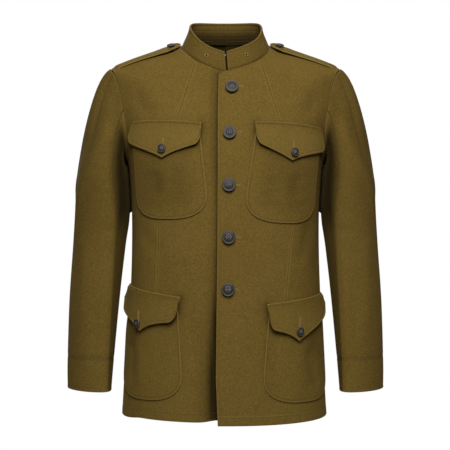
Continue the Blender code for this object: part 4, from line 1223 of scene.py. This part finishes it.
def collar(name):
    left, right = collar_ends()
    marks = [((q - left) / (right - left) * COLLAR_LENGTH, PIT) for q, _ in EYELETS]
    share = lines(COLLAR_LENGTH, COLLAR_STEPS[0], STITCHED, STITCHED, *marks) / COLLAR_LENGTH
    marks = [((EYELETS[0][1] + COLLAR_TUCK) / (1 + COLLAR_TUCK) * COLLAR_HEIGHT, PIT)]
    marks += [(COLLAR_HEIGHT - down, ROW) for down in INSIDE_ROWS[1:]]
    rise = lines(COLLAR_HEIGHT, COLLAR_STEPS[1], SEAMED[:5], STITCHED, *marks) / COLLAR_HEIGHT
    q, rise = np.meshgrid(blend(left, right, share), (1 + COLLAR_TUCK) * rise - COLLAR_TUCK)
    q = q + blend(*END_SLANT[0], rise) * ease((left + END_RUN - q) / END_RUN)
    q = q + blend(*END_SLANT[1], rise) * ease((q - right + END_RUN) / END_RUN)
    points = collar_surface(q, rise)
    out = normals(collar_surface, q, rise, low=-1.0, high=1.0)
    turn_in = COLLAR_TURN * ease((COLLAR_TURN_RISE - rise) / COLLAR_TURN_RISE)
    points = points - turn_in[..., None] * out
    sunk, level = LAP_SINK_RUN
    tuck = np.where(q > 2, ease((level + points[..., 0]) / (level - sunk)), 0)
    points = points - (LAP_SINK * tuck * ease((0.45 - rise) / 0.45))[..., None] * out
    from_left, from_right, from_base, from_top = from_edges(points)
    free = np.minimum.reduce((from_left, from_right, from_top))
    relief = turned(free, COLLAR_STITCH)
    # painted shade: a darker tone over the whole collar, and more in the seam at its base
    dark = 0.19 + 0.55 * bell(from_base / 0.0028)
    for number, (eye_q, eye_rise) in enumerate(np.array(EYELETS)):
        middle = collar_surface(eye_q, eye_rise)
        from_eye = np.linalg.norm(points - middle, axis=-1)
        relief = relief - EYELET_PIT * ease((EYELET - from_eye) / 0.0005 + 0.5)
        # painted shade in the eyelet's hole
        dark = np.maximum(dark, ease((EYELET - from_eye) / 0.0004 + 0.8))
        turn = np.linspace(0, 2 * math.pi, EYELET_STITCHES, endpoint=False)[:, None]
        up = normals(collar_surface, eye_q, eye_rise, high=1.0)
        over = unit(np.cross((0, 0, 1), up))
        line = np.cos(turn) * over + np.sin(turn) * np.cross(up, over)
        line = middle + EYELET_RING * line + 0.0005 * up
        tube("collar_eyelet_" + ("left", "right")[number], line, np.broadcast_to(up, line.shape),
             bead(len(line), 0.0011), SILK, closed=True)
    under = turned(from_top, INSIDE_ROWS[0], 0.0004, 0.0006)
    shade = 0.15 + 0.77 * ease((from_top - 0.009) / 0.024)
    for down in INSIDE_ROWS:
        shade = shade + 0.22 * bell((from_top - down) / 0.0009)
    for down in INSIDE_ROWS[1:]:
        under = under - 0.0004 * bell((from_top - down) / 0.0010)
    cloth_piece(name, points, out, np.minimum(free, from_base), COLLAR_WALL,
                ((free, COLLAR_STITCH),), relief, 0.9 * bell(free / 0.0014), dark, under,
                np.clip(shade, 0, 0.95), [(from_top, down) for down in INSIDE_ROWS])


def neck_tape(name):
    start, end = blend(*collar_ends(), np.array(TAPE_ENDS))
    width = NECK_TAPE[1] - NECK_TAPE[0] + 2 * TAPE_SPREAD
    share = lines(TAPE_LENGTH, COLLAR_STEPS[0], SEAMED[:5], SEAMED[:5]) / TAPE_LENGTH
    height = NECK_TAPE[0] - TAPE_SPREAD + lines(width, TAPE_STEP, SEAMED[:4], SEAMED[:4])
    q, height = np.meshgrid(blend(start, end, share), height)
    base, top = collar_surface(q, 0 * q), collar_surface(q, 0 * q + 1)
    rise = height / np.linalg.norm(top - base, axis=-1)
    out = -normals(collar_surface, q, rise, high=1.0)
    points = collar_surface(q, rise) + (COLLAR_WALL + TAPE_GAP + TAPE_WALL) * out
    away = np.minimum.reduce(from_edges(points))
    cloth_piece(name, points, out, away, TAPE_WALL, ((away, TAPE_STITCH),), dark=TAPE_SHADE)


# --- Pockets, flaps and straps ---

PATCH_STEP = 0.0045
POCKET_DROP = 0.165         # a pocket's usual height
POCKET_STITCH, POCKET_TURN = 0.0045, (0.0004, 0.0006)
INNER_ROUND = 1.9           # the inner corners of the flaps are rounder by this much
FLAP_ARCH = 0.0024          # rise of the breast flaps' upper edge
FLAP_STEPS = (0.0035, 0.0030)
FLAP_DROP = 0.055           # a flap's usual depth
FLAP_STITCH = 0.0050
# painted highlight on a flap's lower face, which tilts up towards the light
FLAP_HIGHLIGHT = {"breast": 1.0, "skirt": 0.5}
FLAP_SEAM_ROWS = {"breast": (0.0022, 0.0072), "skirt": (0.0050,)}
STRAP_CURL = 0.0028         # the strap's tip curls up further
STRAP_TUCK = 0.09           # share of its length that goes down into the sleeve seam
STRAP_LENGTH = 0.128
STRAP_STEPS = (0.0040, 0.0035)
STRAP_STITCH = 0.0050


def kind(name):
    return "breast" if "breast" in name else "skirt"


def pocket_points(name, u, v):
    """Metres round from the centre front, and height, at shares across and down a pocket."""
    (side, top_in, top_out, low_in, low_out, top_in_z, top_out_z, bottom, height,
     tilt) = POCKETS[name]
    across = 2 * u - 1
    rounded = height * (1 - (1 - np.abs(across) ** POCKET_SQUARE) ** (1 / POCKET_SQUARE))
    top = blend(top_in_z, top_out_z, u)
    z = blend(top, bottom + rounded - tilt / 2 * across, v)
    fall = (top - z) / (top - bottom)
    return side * blend(blend(top_in, low_in, fall), blend(top_out, low_out, fall), u), z


def patch_pocket(name):
    width = POCKETS[name][2] - POCKETS[name][1]
    share = lines(width, PATCH_STEP, STITCHED, STITCHED) / width
    fall = lines(POCKET_DROP, PATCH_STEP, SEAMED[:4], STITCHED) / POCKET_DROP
    s, z = pocket_points(name, *np.meshgrid(share, fall))
    points, out = on_cloth(s, z, np.full_like(s, SEWN_LIFT + POCKET_WALL))
    free, from_top = from_rim(points)
    # painted shade in the stitched groove, under the flaps and beside the seams, and in a breast
    # pocket's middle
    dark = 0.25 * bell((free - POCKET_STITCH) / 0.0008)
    dark += painted_shade(s, z) * ease((free - 0.0016) / 0.0010)
    if kind(name) == "breast":
        dark += 0.15 * ease((free - 0.004) / 0.035)
    cloth_piece(name, points, out, np.minimum(free, from_top), SEWN_LIFT + POCKET_WALL,
                ((free, POCKET_STITCH),), turned(free, POCKET_STITCH, *POCKET_TURN),
                0.50 * bell((free - 0.0012) / 0.0012), dark)


def flap_outline(name, u):
    """Depth of a flap at shares across it: round corners and a pointed middle."""
    (_, inner, outer, _, _, inner_depth, outer_depth, point_depth, point, _, corner,
     inner_sweep, outer_sweep) = FLAPS[name]
    depths = []
    for rise, end_depth, sweep, rounder in (
            (u / point, inner_depth, inner_sweep, INNER_ROUND),
            ((1 - u) / (1 - point), outer_depth, outer_sweep, 1.0)):
        rise = np.clip(rise, 0, 1)
        bend = np.clip(1 - rise / (corner / (outer - inner) * rounder), 0, 1)
        fall = (1 - sweep) * rise + sweep * rise ** FLAP_SWEEP
        depths.append(blend(end_depth, point_depth, fall)
                      - corner * rounder * (1 - np.sqrt(1 - bend ** 2)))
    return np.where(u <= point, *depths)


def flap_points(name, u, v, depth):
    side, inner, outer, inner_z, outer_z, _, _, _, _, flare, *_ = FLAPS[name]
    s = blend(inner, outer, u) + flare * v * ease((u - 0.45) / 0.55)
    arch = FLAP_ARCH * 4 * u * (1 - u) if kind(name) == "breast" else 0.0
    return side * s, blend(inner_z, outer_z, u) - depth * v + arch * (1 - v)


def flap_lift(name, u, v, depth):
    """How high a flap's face stands over the cloth."""
    start, end = FLAP_RISE_RUN
    over = ease((v * depth - start) / (end - start))
    sewn_down = FLAP_TUCK * (1 - ease(v * depth / 0.005))
    corner = 1 + FLAP_CURL * ease((0.28 - u) / 0.28)
    if name == "flap_skirt_right":
        corner = corner + FLAP_BELLY * ease((u - 0.62) / 0.38)
    stand = FLAP_STAND[kind(name)] * corner * v ** 2
    return SEWN_LIFT - sewn_down + (POCKET_WALL + FLAP_CLEAR) * over + stand + FLAP_WALL


def flap_lift_at(name, s, z):
    side, inner, outer, inner_z, outer_z, *_ = FLAPS[name]
    u = (side * s - inner) / (outer - inner)
    depth = flap_outline(name, u)
    return flap_lift(name, u, np.clip((blend(inner_z, outer_z, u) - z) / depth, 0, 1), depth)


def flap(name):
    width = FLAPS[name][2] - FLAPS[name][1]
    point = FLAPS[name][8] * width
    share = lines(width, FLAP_STEPS[0], STITCHED, STITCHED, (point, SEAMED[:6]),
                  (point, -SEAMED[5:0:-1])) / width
    fall = lines(FLAP_DROP, FLAP_STEPS[1], STITCHED, STITCHED) / FLAP_DROP
    u, v = np.meshgrid(share, fall)
    depth = flap_outline(name, u)
    points, out = on_cloth(*flap_points(name, u, v, depth), flap_lift(name, u, v, depth))
    free, from_top = from_rim(points)
    relief = turned(free, FLAP_STITCH) * ease(from_top / 0.004)
    rows = FLAP_SEAM_ROWS[kind(name)]
    for row in rows:
        relief -= 0.0005 * bell((from_top - row) / 0.0009)
    # painted highlight on the lower, outer part of the flap; its free edge and top seam are paler
    # from wear
    rub_and_highlight = (0.16 + 0.20 * ease((u - 0.45) / 0.5)) * ease(v / 0.5) * FLAP_HIGHLIGHT[kind(name)]
    wear_and_highlight = np.maximum(0.9 * bell(free / 0.0015) + 0.6 * bell((from_top - 0.0008) / 0.0010), rub_and_highlight)
    # painted shade along the seams at the flap's top
    cloth_piece(name, points, out, np.minimum(free, from_top), FLAP_WALL,
                [(free, FLAP_STITCH)] + [(from_top, row) for row in rows], relief, wear_and_highlight,
                0.34 * bell((from_top - 0.0048) / 0.0036))


def strap_lift(share):
    """How high a shoulder strap's face stands over the cloth."""
    curl = STRAP_CURL * ease((share - 0.84) / 0.16) ** 2
    return SEWN_LIFT + STRAP_STAND * ease(share) ** 1.5 + curl + STRAP_WALL


def shoulder_strap(name, side):
    width = 2 * STRAP_HALF_WIDTHS[0]
    share = lines(STRAP_LENGTH, STRAP_STEPS[0], SEAMED[:5], STITCHED) / STRAP_LENGTH
    across = lines(width, STRAP_STEPS[1], STITCHED, STITCHED) / width * 2 - 1
    share, across = np.meshgrid(share, across, indexing="ij")
    cut_back = STRAP_POINT * across ** 2 * ease(2 * share - 1)
    t, width = blend(*STRAP_ROWS, share - cut_back), blend(*STRAP_HALF_WIDTHS, share)
    points, out = cloth(side * (1 - across * width / speed(1.0, t)), t)
    tuck = (SEWN_LIFT + 0.75 * STRAP_WALL) * (1 - ease(share / STRAP_TUCK))
    points = points + (strap_lift(share) - tuck)[..., None] * out
    free, from_seam = from_rim(points)
    cloth_piece(name, points, out, np.minimum(free, from_seam), STRAP_WALL, ((free, STRAP_STITCH),),
                turned(free, STRAP_STITCH), 0.9 * bell(free / 0.0013))


# --- Buttons, buttonholes, hook and eye ---

BUTTON_RINGS = 30
BUTTON_TURNS = 96
BUTTON_DOME = 0.16
BUTTON_FACE = 0.62          # the rim's height, as a share of the thickness
# The rounded edge of the face: radius and drop. Then the side down to the shank: radius and
# height as a share of the thickness.
BUTTON_EDGE = ((0.985, 0.012), (0.996, 0.035), (1.0, 0.075))
BUTTON_SIDE = ((1.0, 0.42), (0.985, 0.28), (0.93, 0.17), (0.80, 0.10), (0.30, 0.05), (0.22, 0.0))
SLIT = 0.0013               # half the width of a buttonhole, to the middle of its stitches
SLIT_BEAD = 0.00075         # radius of the stitches
SLIT_PITCH = 0.0008         # two of them in this length
# Where each front buttonhole ends, beyond its button, and each flap's, over its button.
BUTTONHOLES = ((0.0322, -0.0885), (0.0291, -0.1782), (0.0258, -0.2765), (0.0255, -0.3722),
               (0.0228, -0.4670))
FLAP_HOLES = {
    "flap_breast_right": (0.1149, -0.1902), "flap_breast_left": (0.1279, -0.1945),
    "flap_skirt_right": (0.1730, -0.5105), "flap_skirt_left": (0.1420, -0.5215)}


def button_relief(r, turn):
    """Relief of a button's face, as a share of its radius: a plain rosette in a beaded rim."""
    petals = 0.070 * np.cos(4 * turn) ** 2 * np.sin(math.pi * np.clip(r / 0.60, 0, 1))
    return (0.055 * bell((r - 0.90) / 0.055)
            + 0.030 * bell((r - 0.74) / 0.045) * (0.55 + 0.45 * np.cos(36 * turn))
            + ease((0.56 - r) / 0.10) * ease(r / 0.16) * (0.018 + petals)
            + 0.075 * ease((0.17 - r) / 0.09) - 0.020 * ease((0.84 - r) / 0.05))


def button(node, diameter, place, out):
    radius, thick = diameter / 2, BUTTON_THICKNESS * diameter
    edge, drop = np.array(BUTTON_EDGE).T[..., None]
    r = np.concatenate((np.linspace(0.02, 0.97, BUTTON_RINGS)[:, None], edge))
    turn = 2 * math.pi * np.arange(BUTTON_TURNS)[None] / BUTTON_TURNS
    proud = button_relief(r, turn)
    height = (BUTTON_DOME * (1 - r * r) + proud) * radius + SHANK + thick * BUTTON_FACE
    height[-len(drop):] -= radius * drop
    wide, low = np.array(BUTTON_SIDE).T
    r = np.append(r, np.append(wide, wide[-1])[:, None], 0)
    height = np.append(height, np.append(SHANK + low * thick, 0)[:, None] + 0 * turn, 0)
    grid = np.stack((r * radius * np.cos(turn), r * radius * np.sin(turn), height), -1)
    ends = [(0, 0, grid[0, :, 2].mean()), (0, 0, grid[-1, 0, 2])]
    points = np.concatenate((grid.reshape(-1, 3), ends))
    faces = [face[::-1] for face in ring_faces(len(grid), BUTTON_TURNS)[:-2]]
    shank = (len(grid) - 1) * BUTTON_TURNS
    for k in range(BUTTON_TURNS):
        m = (k + 1) % BUTTON_TURNS
        faces += [(k, m, len(points) - 2), (shank + m, shank + k, len(points) - 1)]
    made = mesh_object(node + "_brass", points, faces, BRONZE, (node,))
    for word, value in (("wear_and_highlight", np.clip((proud - 0.02) / 0.06, 0, 1)),
                        ("dark", np.clip((0.004 - proud) / 0.03, 0, 0.7))):
        attribute(made, word, np.append(value, np.zeros(len(points) - value.size)))
    out = Vector(out)
    made.rotation_euler = out.to_track_quat("Z", "Y").to_euler()
    made.location = Vector(place) + GAP * out


def tube(name, line, ups, radius, paint, nodes=(), sides=8, closed=False):
    """A round cord along a line, with flat ends."""
    line, ups = np.asarray(line, float), unit(np.asarray(ups, float))
    ahead, behind = np.roll(line, -1, axis=0), np.roll(line, 1, axis=0)
    if not closed:
        ahead[-1], behind[0] = line[-1], line[0]
    runs = unit(ahead - behind)
    over = unit(np.cross(ups, runs))
    ups = np.cross(runs, over)
    turns = 2 * math.pi * np.arange(sides)[:, None] / sides
    size = np.broadcast_to(radius, len(line))[:, None, None]
    grid = line[:, None] + size * (np.cos(turns) * over[:, None] + np.sin(turns) * ups[:, None])
    faces = ring_faces(len(line), sides, closed=closed)
    mesh_object(name, grid.reshape(-1, 3), faces, paint, nodes)


def bead(count, radius):
    """Radii of a row of stitches worked over an edge, side by side."""
    return radius * (1 + 0.13 * np.cos(math.pi * np.arange(count)))


def buttonhole(name, start, end, place):
    """Stitches worked round a slit from start to end, laid by place(s, z)."""
    start, end = np.array(start), np.array(end)
    length = np.linalg.norm(end - start)
    run = (end - start) / length
    side = np.array((-run[1], run[0]))
    across = np.linspace(0, length, 2 * int(length / SLIT_PITCH))[:, None] * run + start
    turn = np.linspace(-math.pi / 2, math.pi / 2, 12)[1:-1, None]
    over, up = SLIT * np.cos(turn) * run, SLIT * np.sin(turn) * side
    outline = np.concatenate((across - SLIT * side, end + over + up,
                              across[::-1] + SLIT * side, start - (over - up)[::-1]))
    points, out = place(*outline.T)
    count = len(points) // 2 * 2
    tube(name, points[:count], out[:count], bead(count, SLIT_BEAD), SILK, closed=True)


def hook_and_eye():
    """A wire hook on the left end of the collar, round the bar of an eye on the right end."""
    def inside(x, rise, deep):
        at = np.array([x / speed(0.0, NECK_ROW)]), np.array([rise])
        out = normals(collar_surface, *at, high=1.0)
        return (collar_surface(*at) - (COLLAR_WALL + GAP + HOOK_WIRE + deep) * out)[0]

    over = 2 * HOOK_WIRE + GAP
    middle = EYE_REACH - EYE_START - over
    eye = [inside(EYE_REACH * math.sin(angle) - EYE_START,
                  HOOK_RISE + EYE_HALF_HEIGHT * math.cos(angle), 0)
           for angle in np.linspace(0, math.pi, 17)]
    eye = [inside(-HOOK_TAIL, HOOK_RISE + EYE_HALF_HEIGHT, 0), *eye,
           inside(-HOOK_TAIL, HOOK_RISE - EYE_HALF_HEIGHT, 0)]
    hook = [inside(x, HOOK_RISE, deep) for x, deep in (
        (HOOK_TAIL, over), (middle + HOOK_BEND, over), (middle - HOOK_BEND, 0.6 * over),
        (middle - HOOK_BEND, 0))]
    for node, line, up in (("collar_eye", eye, (0, -1, 0.05)), ("collar_hook", hook, (0, 0, 1))):
        tube(node + "_wire", line, [up] * len(line), HOOK_WIRE, STEEL, (node,))


# --- The tunic ---

# Each sheet's cut: width and length in metres, area in square metres, how it is held, and by what.
SHEETS = {
    "front_left": ((0.278, 0.740), 0.190, "hung", ("back_left",)),
    "front_right": ((0.290, 0.740), 0.196, "hung", ("back_right", "front_left")),
    "back_left": ((0.270, 0.755), 0.172, "hung", ("front_left", "back_right")),
    "back_right": ((0.270, 0.755), 0.172, "hung", ("front_right", "back_left")),
    "sleeve_left_top": ((0.242, 0.630), 0.123, "hung", ("front_left", "back_left")),
    "sleeve_left_under": ((0.173, 0.550), 0.078, "hung", ("sleeve_left_top",)),
    "sleeve_right_top": ((0.242, 0.630), 0.123, "hung", ("front_right", "back_right")),
    "sleeve_right_under": ((0.173, 0.550), 0.078, "hung", ("sleeve_right_top",)),
    "shoulder_strap_left": ((0.049, 0.145), 0.0067, "laid", ("front_left", "back_left")),
    "shoulder_strap_right": ((0.049, 0.145), 0.0067, "laid", ("front_right", "back_right")),
    "collar": ((0.470, 0.046), 0.0208, "hung",
               ("front_left", "front_right", "back_left", "back_right")),
    "neck_tape": ((0.290, 0.010), 0.0028, "laid", ("collar",)),
    "pocket_breast_left": ((0.152, 0.180), 0.0258, "hung", ("front_left",)),
    "pocket_breast_right": ((0.152, 0.176), 0.0254, "hung", ("front_right",)),
    "pocket_skirt_left": ((0.168, 0.192), 0.0294, "hung", ("front_left",)),
    "pocket_skirt_right": ((0.168, 0.192), 0.0292, "hung", ("front_right",)),
    "flap_breast_left": ((0.145, 0.072), 0.0091, "hung", ("front_left",)),
    "flap_breast_right": ((0.145, 0.072), 0.0091, "hung", ("front_right",)),
    "flap_skirt_left": ((0.162, 0.085), 0.0107, "hung", ("front_left",)),
    "flap_skirt_right": ((0.162, 0.080), 0.0104, "hung", ("front_right",)),
}


def build():
    studio()
    for side, word in ((1, "left"), (-1, "right")):
        front("front_" + word, side)
        back("back_" + word, side)
        sleeve_piece(f"sleeve_{word}_top", side, HIND_SEAM - 360, FRONT_SEAM)
        sleeve_piece(f"sleeve_{word}_under", side, FRONT_SEAM, HIND_SEAM)
        shoulder_strap("shoulder_strap_" + word, side)
        share = (STRAP_BUTTON_ROW - STRAP_ROWS[0]) / (STRAP_ROWS[1] - STRAP_ROWS[0])
        out = normals(body, side * 1.0, STRAP_BUTTON_ROW)
        place = body(side * 1.0, STRAP_BUTTON_ROW) + strap_lift(share) * out
        button("button_strap_" + word, SMALL_BUTTON, place, out)
    collar("collar")
    neck_tape("neck_tape")
    for name in POCKETS:
        patch_pocket(name)
    for name, (s, z) in FLAP_BUTTONS.items():
        flap(name)
        side = FLAPS[name][0]
        q, t = find(side * s, z)
        out = normals(body, q, t)
        place = body(q, t) + flap_lift_at(name, side * s, z) * out
        button(name.replace("flap", "button"), SMALL_BUTTON, place, out)
        hole_s, hole_z = FLAP_HOLES[name]
        buttonhole(name + "_hole", (side * s, z), (side * hole_s, hole_z),
                   lambda a, b: on_cloth(a, b, flap_lift_at(name, a, b)))
    for number, (place, end) in enumerate(zip(FRONT_BUTTONS, BUTTONHOLES), 1):
        q, t = find(*place)
        button(f"button_front_{number}", FRONT_BUTTON, body(q, t), normals(body, q, t))
        buttonhole(f"buttonhole_front_{number}", place, end, lambda a, b: on_cloth(a, b, 0 * a))
    hook_and_eye()
    for name, (flat, area, held, below) in SHEETS.items():
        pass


build()
